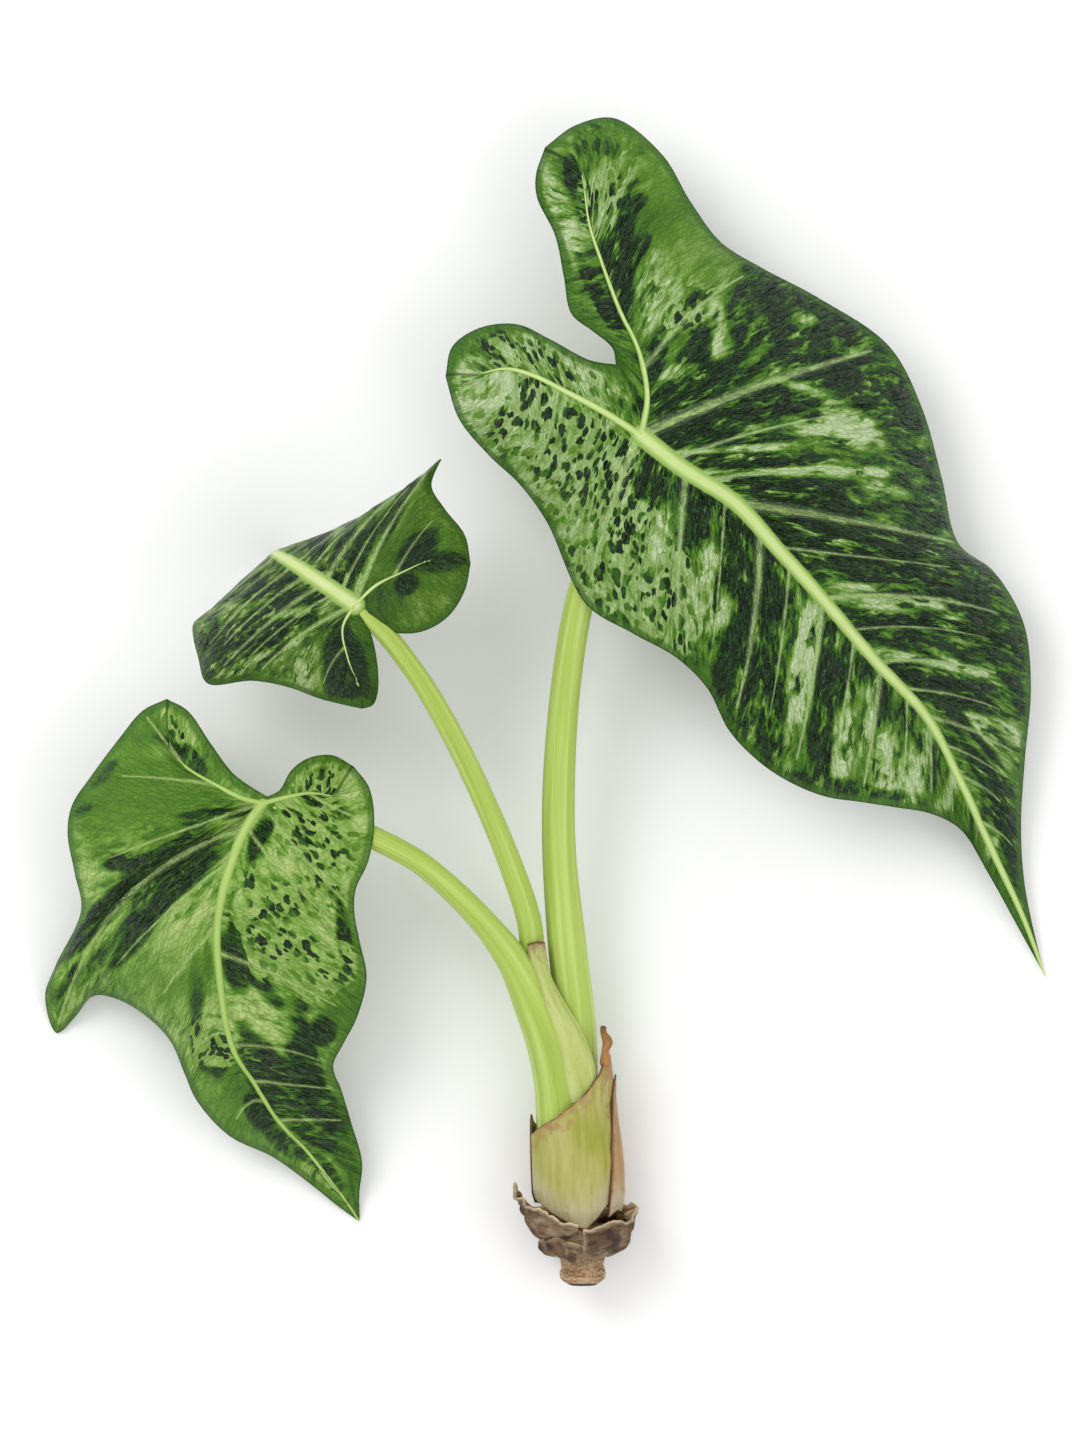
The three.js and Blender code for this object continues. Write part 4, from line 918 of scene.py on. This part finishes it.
def leaf_material(name, dark, deep, rim, mid, soft, pale, rib_colour, fine=1.0, noise=1.0):
    """Marbled aroid leaf: a waxy cuticle over near-black, mid green and sage cells, with pale ribs."""
    material, tree, surface = new_material(name)
    flow = add(tree, "Attribute", out="Vector", attribute_name="flow")
    flow = add(tree, "Mapping", {"Vector": flow, "Scale": (fine, fine, 1)})
    zone, cells, rib, vein, edge, under = (
        add(tree, "Attribute", out="Fac", attribute_name=key)
        for key in ("zone", "cells", "rib", "vein", "edge", "under"))

    # real cells of the marbling are about 2 mm wide and 3 mm long; between the veins they stretch to 10 mm
    wavy = add(tree, "Mapping", {"Vector": flow, "Scale": (0.22, 0.09, 1)})
    warp = add(tree, "TexNoise", {"Vector": wavy, "Scale": 1.0, "Detail": 3.0}, out="Color")
    shift = add(tree, "VectorMath", [warp, (0.5, 0.5, 0.5)], operation="SUBTRACT")
    shift = add(tree, "VectorMath", {0: shift, "Scale": 5.0}, operation="SCALE")
    bent = add(tree, "VectorMath", [flow, shift], operation="ADD")
    long_space = add(tree, "Mapping", {"Vector": bent, "Scale": (0.4, 0.11, 1)})
    round_space = add(tree, "Mapping", {"Vector": bent, "Scale": (0.34, 0.25, 1)})
    streaks = add(tree, "TexNoise", {"Vector": long_space, "Scale": 1.0, "Detail": 3.0, "Roughness": 0.55})
    patches = add(tree, "TexNoise", {"Vector": round_space, "Scale": 0.35, "Detail": 3.0})
    streaks_around_0 = add(tree, "Math", [streaks, 0.5], operation="SUBTRACT")
    patches_around_0 = add(tree, "Math", [patches, 0.5], operation="SUBTRACT")

    # plain areas stay smooth, marked ones break up, and a negative value of cells keeps an area calm
    marked = add(tree, "Math", [zone], operation="ABSOLUTE")
    strength = add(tree, "Math", [marked, 0.9 * noise, 0.35 * noise], operation="MULTIPLY_ADD")
    calm = add(tree, "Math", [cells, 0.0], operation="MINIMUM")
    calm = add(tree, "Math", [1.0, calm], operation="ADD")
    strength = add(tree, "Math", [strength, calm], operation="MULTIPLY")

    # streaky marbling: wavy streaks and patches, with one tone for each long cell
    long_tone = add(tree, "TexVoronoi", {"Vector": long_space, "Scale": 1.0}, out="Color")
    long_tone = add(tree, "SeparateColor", [long_tone])
    long_tone = add(tree, "Math", [long_tone, 0.5], operation="SUBTRACT")
    long_gap = add(tree, "TexVoronoi", {"Vector": long_space, "Scale": 1.0}, feature="DISTANCE_TO_EDGE")
    streaky = add(tree, "Math", [streaks_around_0, 4.0], operation="MULTIPLY")
    streaky = add(tree, "Math", [patches_around_0, 2.2, streaky], operation="MULTIPLY_ADD")
    streaky = add(tree, "Math", [long_tone, 0.9, streaky], operation="MULTIPLY_ADD")
    drawn = add(tree, "Math", [zone, 0.88], operation="MULTIPLY")
    streaky = add(tree, "Math", [streaky, strength, drawn], operation="MULTIPLY_ADD")
    between = add(tree, "MapRange", [long_gap, 0.09, 0.02], interpolation_type="SMOOTHSTEP")
    between = add(tree, "Math", [between, 0.8], operation="MULTIPLY")
    lighter = add(tree, "Math", [streaky, 0.1], operation="MINIMUM")
    streaky = add(tree, "Mix", {0: between, 2: streaky, 3: lighter})

    # dotted marbling: clusters of rounded dark cells on a lighter ground
    round_tone = add(tree, "TexVoronoi", {"Vector": round_space, "Scale": 1.0}, out="Color")
    from_middle = round_tone.node.outputs["Distance"]
    round_tone = add(tree, "SeparateColor", [round_tone])
    round_tone = add(tree, "Math", [round_tone, 0.5], operation="SUBTRACT")
    round_tone = add(tree, "Math", [round_tone, 1.5], operation="MULTIPLY")
    dotted = add(tree, "Math", [patches_around_0, 1.8, round_tone], operation="MULTIPLY_ADD")
    dotted = add(tree, "Math", [dotted, strength, zone], operation="MULTIPLY_ADD")
    ground = add(tree, "Math", [streaks_around_0, 1.6, -0.5], operation="MULTIPLY_ADD")
    ground = add(tree, "Math", [dotted, ground], operation="MINIMUM")
    outside = add(tree, "Math", [streaks, 0.25, from_middle], operation="MULTIPLY_ADD")
    outside = add(tree, "MapRange", [outside, 0.52, 0.66], interpolation_type="SMOOTHSTEP")
    dotted = add(tree, "Mix", {0: outside, 2: dotted, 3: ground})
    where = add(tree, "Math", [patches_around_0, 0.9, cells], operation="MULTIPLY_ADD")
    where = add(tree, "MapRange", [where, 0.3, 0.5], interpolation_type="SMOOTHSTEP")
    level = add(tree, "Mix", {0: where, 2: streaky, 3: dotted})
    place = add(tree, "MapRange", [level, -1.5, 1.5])
    tone = add(tree, "ValToRGB", [place], ramp=[
        (0.20, pale), (0.35, soft), (0.44, mid), (0.53, rim), (0.57, deep), (0.63, deep), (0.70, dark)])
    darkness = add(tree, "MapRange", [level, 0.2, 0.6], interpolation_type="SMOOTHSTEP")

    # fine wavy veins run along the streaks, light on dark, and a net of them shows dark on light
    hair_space = add(tree, "Mapping", {"Vector": bent, "Scale": (1.35, 0.11, 1)})
    hairs = add(tree, "TexNoise", {"Vector": hair_space, "Scale": 1.0, "Detail": 2.5, "Distortion": 0.8})
    light_line = add(tree, "Math", [hairs, 0.5], operation="SUBTRACT")
    light_line = add(tree, "Math", [light_line], operation="ABSOLUTE")
    light_line = add(tree, "MapRange", [light_line, 0.035, 0.0], interpolation_type="SMOOTHSTEP")
    light_share = add(tree, "Math", [darkness, 0.5], operation="MULTIPLY")
    light_line = add(tree, "Math", [light_line, light_share], operation="MULTIPLY")
    tone = add(tree, "Mix", {0: light_line, 6: tone, 7: colour("#5c8450")}, out=2, data_type="RGBA")
    net_space = add(tree, "Mapping", {"Vector": bent, "Scale": (0.62, 0.3, 1)})
    net = add(tree, "TexVoronoi", {"Vector": net_space, "Scale": 1.0}, feature="DISTANCE_TO_EDGE")
    dark_line = add(tree, "MapRange", [net, 0.05, 0.0], interpolation_type="SMOOTHSTEP")
    dark_share = add(tree, "Math", [1.0, darkness], operation="SUBTRACT")
    dark_share = add(tree, "Math", [dark_share, 0.35], operation="MULTIPLY")
    dark_line = add(tree, "Math", [dark_line, dark_share], operation="MULTIPLY")
    tone = add(tree, "Mix", {0: dark_line, 6: tone, 7: colour(rim)}, out=2, data_type="RGBA")

    # lateral veins, the plain rim with its darker hem, and the ribs; each has
    # its distance, where it starts and ends, its share and its colour
    rim_wave = add(tree, "Math", [patches_around_0, 3.0, edge], operation="MULTIPLY_ADD")
    for distance, low, high, share, shade in (
            (vein, 1.15, 0.6, 0.85, "#8fb060"), (vein, 2.4, 1.0, 0.2, pale),
            (rim_wave, 3.2, 1.8, 0.8, rim), (edge, 0.9, 0.35, 0.6, deep)):
        near = add(tree, "MapRange", [distance, low, high], interpolation_type="SMOOTHSTEP")
        near = add(tree, "Math", [near, share], operation="MULTIPLY")
        tone = add(tree, "Mix", {0: near, 6: tone, 7: colour(shade)}, out=2, data_type="RGBA")
    rib_side = add(tree, "MapRange", [rib, 0.2, 0.9], interpolation_type="SMOOTHSTEP")
    rib_tone = add(tree, "Mix", {0: rib_side, 6: colour(rib_colour), 7: colour("#86a84a")}, out=2,
                   data_type="RGBA")
    rib_share = add(tree, "MapRange", [rib, 1.12, 0.85], interpolation_type="SMOOTHSTEP")
    tone = add(tree, "Mix", {0: rib_share, 6: tone, 7: rib_tone}, out=2, data_type="RGBA")

    # the underside is paler and duller, with the same marbling showing through
    back = add(tree, "Mix", {0: 0.62, 6: tone, 7: colour("#8aa66c")}, out=2, data_type="RGBA")
    tone = add(tree, "Mix", {0: under, 6: tone, 7: back}, out=2, data_type="RGBA")
    tree.links.new(tone, surface.inputs["Base Color"])
    shine = add(tree, "Math", [darkness, -0.1, 0.24], operation="MULTIPLY_ADD")
    shine = add(tree, "Math", [hairs, 0.25, shine], operation="MULTIPLY_ADD")
    shine = add(tree, "Math", [under, 0.25, shine], operation="MULTIPLY_ADD")
    tree.links.new(shine, surface.inputs["Roughness"])

    # the surface is puffed up between the fine veins, most in the dark cells, and smooth along the ribs
    hair_height = add(tree, "Math", [darkness, 0.5, 0.4], operation="MULTIPLY_ADD")
    crinkle = add(tree, "Math", [hairs, hair_height], operation="MULTIPLY")
    netted = add(tree, "MapRange", [net, 0.0, 0.16], interpolation_type="SMOOTHSTEP")
    crinkle = add(tree, "Math", [netted, 0.35, crinkle], operation="MULTIPLY_ADD")
    puff_height = add(tree, "Math", [darkness, 2.6, 0.3], operation="MULTIPLY_ADD")
    puffed = add(tree, "MapRange", [long_gap, 0.0, 0.35], interpolation_type="SMOOTHSTEP")
    crinkle = add(tree, "Math", [puffed, puff_height, crinkle], operation="MULTIPLY_ADD")
    off_rib = add(tree, "MapRange", [rib, 0.9, 1.4], interpolation_type="SMOOTHSTEP")
    crinkle = add(tree, "Math", [crinkle, off_rib], operation="MULTIPLY")
    bump = add(tree, "Bump", {"Height": crinkle, "Distance": 0.001, "Strength": 0.8})
    tree.links.new(bump, surface.inputs["Normal"])
    surface.inputs["Specular IOR Level"].default_value = 0.28
    return material


# ---- big leaf: strokes are x, y, half length, half width, direction, value (1 near black, -1 pale sage)

BIG_LATERALS = [  # side, place, half width, share of its length
    ("right", 0.0, 1.3, 0.95), ("right", 0.2, 1.15, 1.0), ("right", 0.4, 0.8, 0.9),
    ("right", 0.5, 0.55, 0.8), ("right", 0.6, 0.6, 0.9), ("right", 0.08, 0.5, 0.8),
    ("right", 0.14, 0.55, 0.7), ("right", -0.27, 0.7, 0.9), ("right", 0.7, 0.5, 0.7),
    ("right", 0.3, 0.4, 0.8), ("right", 0.45, 0.35, 0.8), ("right", 0.55, 0.4, 0.8),
    ("right", 0.65, 0.35, 0.8), ("right", 0.76, 0.4, 0.8), ("left", 0.18, 0.35, 0.8),
    ("left", 0.33, 0.4, 0.8), ("left", 0.46, 0.4, 0.8), ("left", 0.56, 0.35, 0.8),
    ("left", 0.68, 0.45, 0.8), ("left", 0.76, 0.4, 0.8), ("left", 0.0, 0.9, 0.9),
    ("left", 0.11, 0.9, 0.9), ("left", 0.26, 0.9, 0.9), ("left", 0.4, 0.8, 0.9),
    ("left", 0.51, 0.8, 0.9), ("left", 0.61, 0.6, 0.8), ("left", -0.45, 0.5, 0.8),
]
BIG_STROKES = [
    # above the first lateral
    (32.5, 102, 6, 2.2, 75, 1), (22, 121, 9, 2.6, 82, 1), (21, 135, 8, 3, 78, 1),
    (26.5, 133, 5, 1.6, 55, 0.9), (26, 149, 3.6, 2, 20, 0.9), (17.5, 150, 3.6, 2, 80, 1),
    (13, 150, 5, 2.2, 75, 1), (8, 157, 4.5, 1.6, 100, 1), (15.5, 121, 10, 1.6, 117, 1),
    (37, 112, 7, 3, 50, 0.8), (45, 105, 8, 3, 60, 0.8), (43, 119, 4, 1.8, 50, 0.7),
    (57, 115, 8, 3.5, 80, 0.9), (69, 112, 10, 4.5, 70, 1), (76, 106, 9, 3.5, 35, 1),
    (88, 108.5, 12, 3.5, 5, 1), (50, 97, 17, 3.6, 24, 1), (38, 90, 5, 4, 40, 1),
    (80, 118, 18, 2.4, -30, 0.7), (62, 123, 4, 3, 60, 0.6), (52, 108, 3, 9, 10, -0.8),
    (40, 98, 5, 2, 20, -0.9), (34, 120, 5, 12, 0, -0.45), (45, 131, 10, 10, 0, -0.3),
    (30, 160, 12, 9, 0, -0.2), (76, 114.5, 5, 2.4, -20, -0.7), (5, 145, 14, 2.5, 110, -0.6),
    (62, 103, 6, 2, 35, -0.7),
    # between the first and second laterals
    (55, 86, 18, 4, 14, 1), (70, 89.5, 9, 3, 0, 1), (88, 98, 16, 4, -8, 1), (98, 92, 9, 5, -30, 0.75),
    (105, 82, 12, 5, -55, 0.55), (45, 78.5, 12, 2, 8, 0.9), (60, 71.5, 16, 1.8, 0, 0.9),
    (58, 78, 10, 1.5, 2, 0.5), (75, 62, 22, 3.2, -4, 1), (60, 75, 16, 0.9, 3, -0.9),
    (82, 68.4, 26, 1.1, 1, -0.9), (88, 81, 11, 4.5, -10, -1), (78, 92, 8, 1.4, -22, -0.7),
    (100, 62, 9, 2.4, 3, -0.6), (84, 74, 14, 2, -5, 0.1), (110, 66, 5, 12, 20, 0.35),
    (112, 57, 8, 2, -25, 0.8),
    # between the second and third laterals
    (85, 47, 24, 7.5, -16, 1), (104, 40, 18, 6, -14, 1), (118, 44, 12, 2.6, -24, 0.9),
    (108, 42, 5, 1.6, -10, -0.1), (103, 34.5, 14, 1.3, 0, -0.8), (128, 36, 9, 4, -35, 0.5),
    (117, 41, 6, 1.4, -25, -0.1),
    # right of the midrib's lower half
    (104, 29, 12, 2, 0, -1), (124, 30, 11, 3, -28, 0.95), (106, 23.5, 14, 3.4, -12, 1),
    (124, 21, 13, 3.2, -16, 0.9), (112, 17, 14, 2, -14, 0.8), (120, 19.5, 12, 0.9, -16, -0.8),
    (112, 12, 16, 1.1, -12, -0.9), (118, 6, 13, 3.4, -22, 1), (133, 11, 6, 2, -35, 0.3),
    (126, 10, 12, 0.9, -25, -0.8), (128, 0, 9, 2.6, -32, 0.9), (134, -8, 7, 3.6, -30, -0.9),
    (124, -7, 8, 2, -42, 0.9), (132, -19, 9, 2.8, -52, 0.9), (136, -32, 8, 2.4, -62, 0.8),
    (139, -44, 7, 1.6, -65, 0.7), (129, -14, 6, 0.9, -42, -0.7), (138, -14, 2, 6, 0, -0.2),
    (140, 14, 3, 14, 0, 0.45),
    # left lobe: clusters of grey-green cells
    (-5, 92.5, 4.6, 3, 0, 0.8), (0, 82, 9, 4, -8, 0.7), (7, 86, 4, 2, 10, 0.7),
    (12.5, 80, 4.4, 3, 0, 0.8), (19, 76.5, 4.4, 2.4, -22, 1.1), (-12, 82.5, 3, 3, 0, 0.7),
    (4, 71, 6, 6, 0, 0.5), (13, 66, 8, 6, 0, 0.5), (-15, 107, 4, 1.4, 0, 0.6),
    (-9, 104, 8, 1.8, -12, 0.4), (6, 96, 9, 1.4, -48, 0.5), (-2, 103, 4, 1.2, -50, 0.5),
    (-22, 92, 4, 8, 0, -0.7), (-4, 78, 5, 3, 0, -0.4), (-14, 92, 6, 4, 30, -0.9),
    (14, 94, 6, 3, -45, -0.6), (20, 90, 5, 3, -60, -0.3), (0, 62, 9, 3, -45, -0.1),
    # left of the midrib
    (28.5, 63, 11, 5, 78, 1.1), (24, 53, 9, 3.4, 70, 0.8), (45, 60, 8, 3.4, -52, 1),
    (50, 53, 8, 4, -70, 0.9), (33, 47, 9, 2.2, 84, -0.8), (43, 51, 7, 1.5, 80, 0.5),
    (48, 42, 9, 2.4, 76, -0.8), (50, 27, 6, 5, 0, -0.9), (12, 51, 5, 4, 0, -0.5), (16, 42, 8, 8, 0, 0.3),
    (26, 37, 8, 11, 0, 0.25), (36, 32, 3.5, 9, 0, 0.3), (45, 30, 2, 8, 0, -0.4),
    (30, 23, 12, 4, -30, 0.1), (55, 42, 12, 2.2, 74, 0.8), (57, 26, 12, 2.6, 80, 0.8),
    (66, 34, 12, 2.6, 78, 0.6), (54, 10, 9, 2.6, 72, 0.9), (62.5, 6, 14, 4.2, 82, 0.7),
    (71, 27, 9, 2.4, 62, 0.5), (77, 12, 13, 2.8, 84, -1.1), (72, -2, 9, 2.2, 85, -0.6),
    (83.5, 13, 12, 2, 80, 0.9), (90, 8, 9, 4, 68, 0.7), (82, -12, 12, 2.6, 88, 0.8),
    (69, -8, 12, 2, 84, 0.8), (58, -8, 5, 6, 0, 0.5), (88, -12, 9, 2.6, 84, -0.7),
    (96, -4, 9, 1.4, 80, -0.8), (102, -18, 9, 3.6, 80, -0.8), (99.5, 1, 6, 1.4, 85, 1),
    (106, -8, 8, 2.4, 75, 0.5), (111, -20, 9, 2.6, 78, -0.7), (116, -16, 8, 1.6, 72, 0.4),
    (85, -24.5, 12, 1.8, -10, 0.6), (98, -27, 9, 1.4, -4, 0.6), (120, -28, 8, 1.6, 65, -0.5),
    (127, -40, 8, 1.2, 60, 0.4), (132, -46, 9, 0.9, 58, -0.5),
]
BIG_CELLS = [
    (-8, 90, 18, 14, 0, 1), (10, 70, 13, 11, 0, 1), (20, 42, 14, 14, 20, 1), (36, 28, 8, 11, 0, 1),
    (18, 150, 12, 7, 60, 0.6), (40, 116, 9, 6, 50, 0.5), (42, 146, 22, 12, -58, -0.85),
    (-24, 96, 8, 9, 0, -0.7),
]
big_marbling = leaf_material("marbled leaf, dark", "#0a1e09", "#173a0c", "#356505", "#568218",
                             "#84a558", "#b0c492", "#bccf86")
blade("big_leaf_blade", BIG_LEAF, big_marbling, BIG_LATERALS, BIG_STROKES, 0.05, BIG_CELLS, step=1.42,
      rib_width=2.9, lobe_share=0.4, seed=1)


# ---- middle leaf: long parallel streaks run out from the midrib over the crest

MIDDLE_LATERALS = [
    ("right", 0.0, 0.7, 0.9), ("right", 0.17, 0.8, 0.9), ("right", 0.33, 0.6, 0.9),
    ("right", 0.5, 0.8, 0.9), ("right", 0.08, 0.4, 0.8), ("right", 0.25, 0.5, 0.8),
    ("right", 0.42, 0.4, 0.9), ("left", 0.0, 0.7, 0.9), ("left", 0.17, 0.7, 0.9),
    ("left", 0.33, 0.6, 0.9), ("left", 0.5, 0.8, 0.9), ("left", 0.1, 0.4, 0.8), ("left", 0.25, 0.5, 0.8),
    ("left", 0.42, 0.4, 0.9), ("right", -0.55, 0.4, 0.8), ("left", -0.55, 0.4, 0.8),
]
MIDDLE_STROKES = [
    (-61, 42, 9, 2.4, 75, 0.9), (-56, 42, 10, 1.6, 70, 0.9), (-66, 46, 4, 3, 60, 0.8),
    (-51, 49, 10, 2, 62, 0.8), (-44, 56, 10, 1.6, 60, 0.6), (-52, 42, 9, 1, 68, -0.6),
    (-63, 47, 5, 1.2, 70, -0.7), (-46, 60, 9, 1, 58, -0.6), (-40, 60, 8, 1, 62, -0.5),
    (-37, 46, 6, 3, 50, 1.3), (-31, 41, 5, 2.4, 10, 0.7), (-41.5, 34.5, 2.6, 2.2, 30, 1.3),
    (-31, 54, 7, 8, 60, -0.15), (-34, 28, 9, 5, 20, -0.2), (-48, 29, 6, 5, 0, 0.15),
    (-30, 35, 5, 4, 0, -0.1), (-78, 34, 12, 2, 15, 0.9), (-84, 36, 9, 1.4, 22, 0.4),
    (-74, 30, 10, 1.8, 12, 0.9), (-88, 22, 12, 2.4, 14, 0.9), (-76, 26, 12, 1.2, 18, -0.6),
    (-94, 15, 9, 2, 28, 0.9), (-84, 17, 14, 1.8, 28, 0.6), (-98, 11, 6, 2, 40, 0.8),
    (-88, 12, 12, 1.4, 24, -0.6), (-93, 27, 9, 2, 10, -0.2), (-62, 13, 8, 3, 80, 1.1),
    (-56, 12, 6, 2.2, 110, 1), (-54, 6, 5, 1.6, 120, 0.8), (-70, 9, 5, 6, 0, -0.35),
    (-59, 4, 4, 2, 0, 0.8), (-51, 13, 2, 8, 0, 0.1),
]
MIDDLE_CELLS = [(-36, 44, 15, 17, 0, -0.85), (-46, 27, 10, 8, 0, -0.9), (-56, 8, 9, 12, 0, -0.8)]
middle_marbling = leaf_material("marbled leaf, streaked", "#14281a", "#244216", "#355f03", "#527816",
                                "#809e52", "#a6ba80", "#c2d08c", fine=1.4, noise=1.35)
blade("middle_leaf_blade", MIDDLE_LEAF, middle_marbling, MIDDLE_LATERALS, MIDDLE_STROKES, 0.0, MIDDLE_CELLS,
      step=0.84, rib_width=3.0, lobe_share=0.17, seed=2)


# ---- lower leaf: mostly pale, with spots right of the midrib and dark bands beside the corner vein

LOWER_LATERALS = [
    ("left", 0.1, 1.0, 1.0), ("left", 0.0, 0.5, 0.8), ("left", 0.16, 0.5, 0.8), ("left", 0.3, 0.6, 0.8),
    ("left", 0.48, 0.6, 0.8), ("left", 0.65, 0.6, 0.8), ("left", -0.5, 0.5, 0.8),
    ("left", -0.85, 0.6, 0.9), ("right", 0.0, 0.6, 0.9), ("right", 0.1, 0.5, 0.8),
    ("right", 0.35, 0.7, 0.9), ("right", 0.5, 0.7, 0.9), ("right", 0.6, 0.6, 0.9),
    ("right", 0.7, 0.6, 0.9), ("right", -0.65, 0.5, 0.8),
]
LOWER_STROKES = [
    (-106, -16.5, 6, 2, -45, 0.9), (-110, -9, 3, 1.4, -50, 0.8), (-112.5, -12, 3, 1.2, -40, 0.7),
    (-100, -33.2, 9, 1.2, 3, 1), (-104, -35.5, 4, 0.9, 5, 0.8), (-125, -47.5, 5, 1.8, 8, 1),
    (-112, -44, 10, 2.2, 28, 0.9), (-118, -52, 16, 3, 34, 1), (-132, -63, 12, 2.4, 42, 1),
    (-140, -72, 8, 1.8, 40, 0.7), (-111, -55, 14, 3, 40, 0.9), (-118, -64, 9, 2, 45, 0.7),
    (-106, -47, 7, 1.6, 38, 0.7), (-102, -44, 6, 1.4, 30, 0.5), (-123, -72, 8, 2, 45, 0.5),
    (-134, -77, 9, 1.4, 50, 0.4), (-143, -83, 6, 1.2, 55, 0.5), (-132, -22, 5, 1.6, 45, 0.5),
    (-138, -32, 3, 1.2, 20, 0.5), (-120, -28, 20, 9, 10, 0.02), (-125, -38, 14, 5, 5, -0.1),
    (-118, -8, 8, 6, 45, 0.02), (-106, -70, 10, 8, 60, -0.7), (-112, -82, 12, 7, 20, -0.2),
    (-125, -84, 10, 4, 10, -0.2), (-100, -60, 6, 3, 70, -0.6), (-104, -82, 2, 9, 0, 0.5),
    (-100.5, -76, 1.4, 5, 0, 0.5), (-98.5, -105, 3.6, 5, 0, 0.9), (-103.5, -103, 1.8, 6, 10, 0.8),
    (-104, -95, 1.2, 6, 0, 0.4), (-106, -115, 6, 8, 0, -0.2), (-93, -114, 3, 6, 0, 0.1),
    (-98, -122, 5, 4, 0, -0.1), (-85.5, -41, 5, 1.6, 70, 1), (-82, -37, 3, 1, 70, 0.7),
    (-77, -34, 2, 1.4, 60, 0.7), (-69.5, -37, 9, 4.5, 85, 1), (-66, -24, 4, 3, 20, 0.9),
    (-63, -34, 5, 4, 50, 0.4), (-62, -45, 5, 3, -40, 0.7), (-68, -49, 6, 3, 130, 0.9),
    (-64, -53, 3, 1.6, 110, 0.7), (-58, -28, 3, 6, 0, -0.5), (-59, -45, 3, 5, 0, -0.2),
    (-79, -57, 6, 4, -50, 0.6), (-76, -60, 4, 4, 0, 0.6), (-84, -61, 3, 3, 0, 0.6),
    (-87, -54, 2, 4, 0, 0.5), (-80, -71, 5, 4, -30, 0.7), (-86, -69, 2.4, 3, 0, 0.7),
    (-70, -74, 1.8, 4, 10, 0.9), (-92, -70, 2, 4, 10, 0.6), (-93, -78, 9, 2.4, 110, 0.8),
    (-87, -80, 8, 2, 120, 0.7), (-82, -87, 6, 1.6, 130, 0.6), (-60, -70, 1.6, 8, 8, 0.9),
    (-66, -77, 3, 2, 0, 0.7), (-64, -81, 3, 2, 0, 0.6), (-73, -89, 2.4, 1.6, -50, 0.8),
    (-69, -84, 8, 6, 0, -0.1), (-60, -89, 5, 8, 0, 0.1), (-88, -92, 7, 6, 0, -0.9),
    (-80, -48, 5, 5, 0, -0.6), (-70, -64, 6, 4, 0, -0.5), (-78, -96, 4, 5, 0, -0.7),
    (-66.5, -97.5, 3, 3.4, 0, 1), (-73, -99, 7, 2.4, 110, 1), (-88, -100, 6, 1.8, 125, 0.8),
    (-84, -104, 7, 2, 130, 0.9), (-72, -107, 7, 2.6, 125, 1), (-80, -112, 12, 2.4, 140, 1),
    (-72, -114, 10, 2, 140, 0.8), (-80, -119, 10, 2.6, 135, 1), (-70, -122, 12, 2.4, 140, 0.9),
    (-64, -121, 6, 2, 130, 0.6), (-74, -127, 9, 1.6, 138, 0.7), (-66, -130, 9, 2.2, 135, 0.9),
    (-86, -122, 3, 5, 20, 0.9), (-81, -130, 6, 2, 130, 0.7), (-75, -133, 5, 1.6, 135, 0.5),
    (-66, -140, 7, 1.6, 128, 0.5), (-60, -138, 5, 1.4, 125, 0.5), (-76, -117, 10, 0.8, 142, -0.7),
    (-70, -126, 10, 0.7, 142, -0.6), (-62, -148, 3, 3, 0, -0.2), (-90, -129, 8, 3, -30, 0),
]
LOWER_CELLS = [
    (-79, -64, 10, 14, 0, 1), (-64, -38, 12, 14, 0, 0.8), (-66, -80, 8, 8, 0, 1),
    (-108, -11, 8, 8, 0, 0.8), (-100, -104, 6, 8, 0, 0.8), (-122, -22, 20, 12, 10, -0.8),
    (-109, -78, 14, 10, 20, -0.7), (-94, -119, 12, 6, -45, -0.7), (-60, -98, 5, 12, 0, -0.6),
]
lower_marbling = leaf_material("marbled leaf, pale", "#0c2205", "#1c4204", "#3c6a08", "#5a881c", "#80a648",
                               "#a8be70", "#a6c068", noise=0.75)
blade("lower_leaf_blade", LOWER_LEAF, lower_marbling, LOWER_LATERALS, LOWER_STROKES, -0.42, LOWER_CELLS,
      step=1.27, rib_width=1.5, seed=3)


# ---------------------------------------------------------------- studio
# A plain white surface under a large soft light, seen from straight above with a long lens.

def make_floor():
    bpy.ops.mesh.primitive_plane_add(size=60)
    floor = bpy.context.object
    floor.name = "floor"
    material, tree, surface = new_material("matt white paper")
    surface.inputs["Base Color"].default_value = colour("#f7f7f7")
    surface.inputs["Roughness"].default_value = 0.9
    surface.inputs["Specular IOR Level"].default_value = 0.1
    floor.data.materials.append(material)


def area_light(name, place, target, size, power):
    data = bpy.data.lights.new(name, "AREA")
    data.shape = "DISK"
    data.size = size
    data.energy = power
    light = bpy.data.objects.new(name, data)
    light.location = place
    light.rotation_euler = (Vector(target) - Vector(place)).to_track_quat("-Z", "Y").to_euler()
    bpy.context.collection.objects.link(light)


make_floor()
area_light("key", (-0.9, 0.8, 1.5), (0, 0, 0.03), 1.0, 10.5)
area_light("fill", (1.2, -0.5, 1.6), (0, 0, 0.03), 1.2, 4.5)
world = bpy.data.worlds.new("studio")
bpy.context.scene.world = world
world.use_nodes = True
world.node_tree.nodes["Background"].inputs["Color"].default_value = colour("#ffffff")
world.node_tree.nodes["Background"].inputs["Strength"].default_value = 0.94

camera_data = bpy.data.cameras.new("camera")
camera_data.sensor_fit = "VERTICAL"
camera_data.sensor_height = 36
camera_data.lens = 300
camera = bpy.data.objects.new("camera", camera_data)
CENTRE = Vector((-0.0009, -0.0065, 0.012))
camera.location = CENTRE + Vector((0, 0, 0.4344 * 300 / 36))
camera.rotation_euler = (0, 0, 0)
bpy.context.collection.objects.link(camera)
bpy.context.scene.camera = camera
bpy.context.scene.view_settings.view_transform = "Standard"
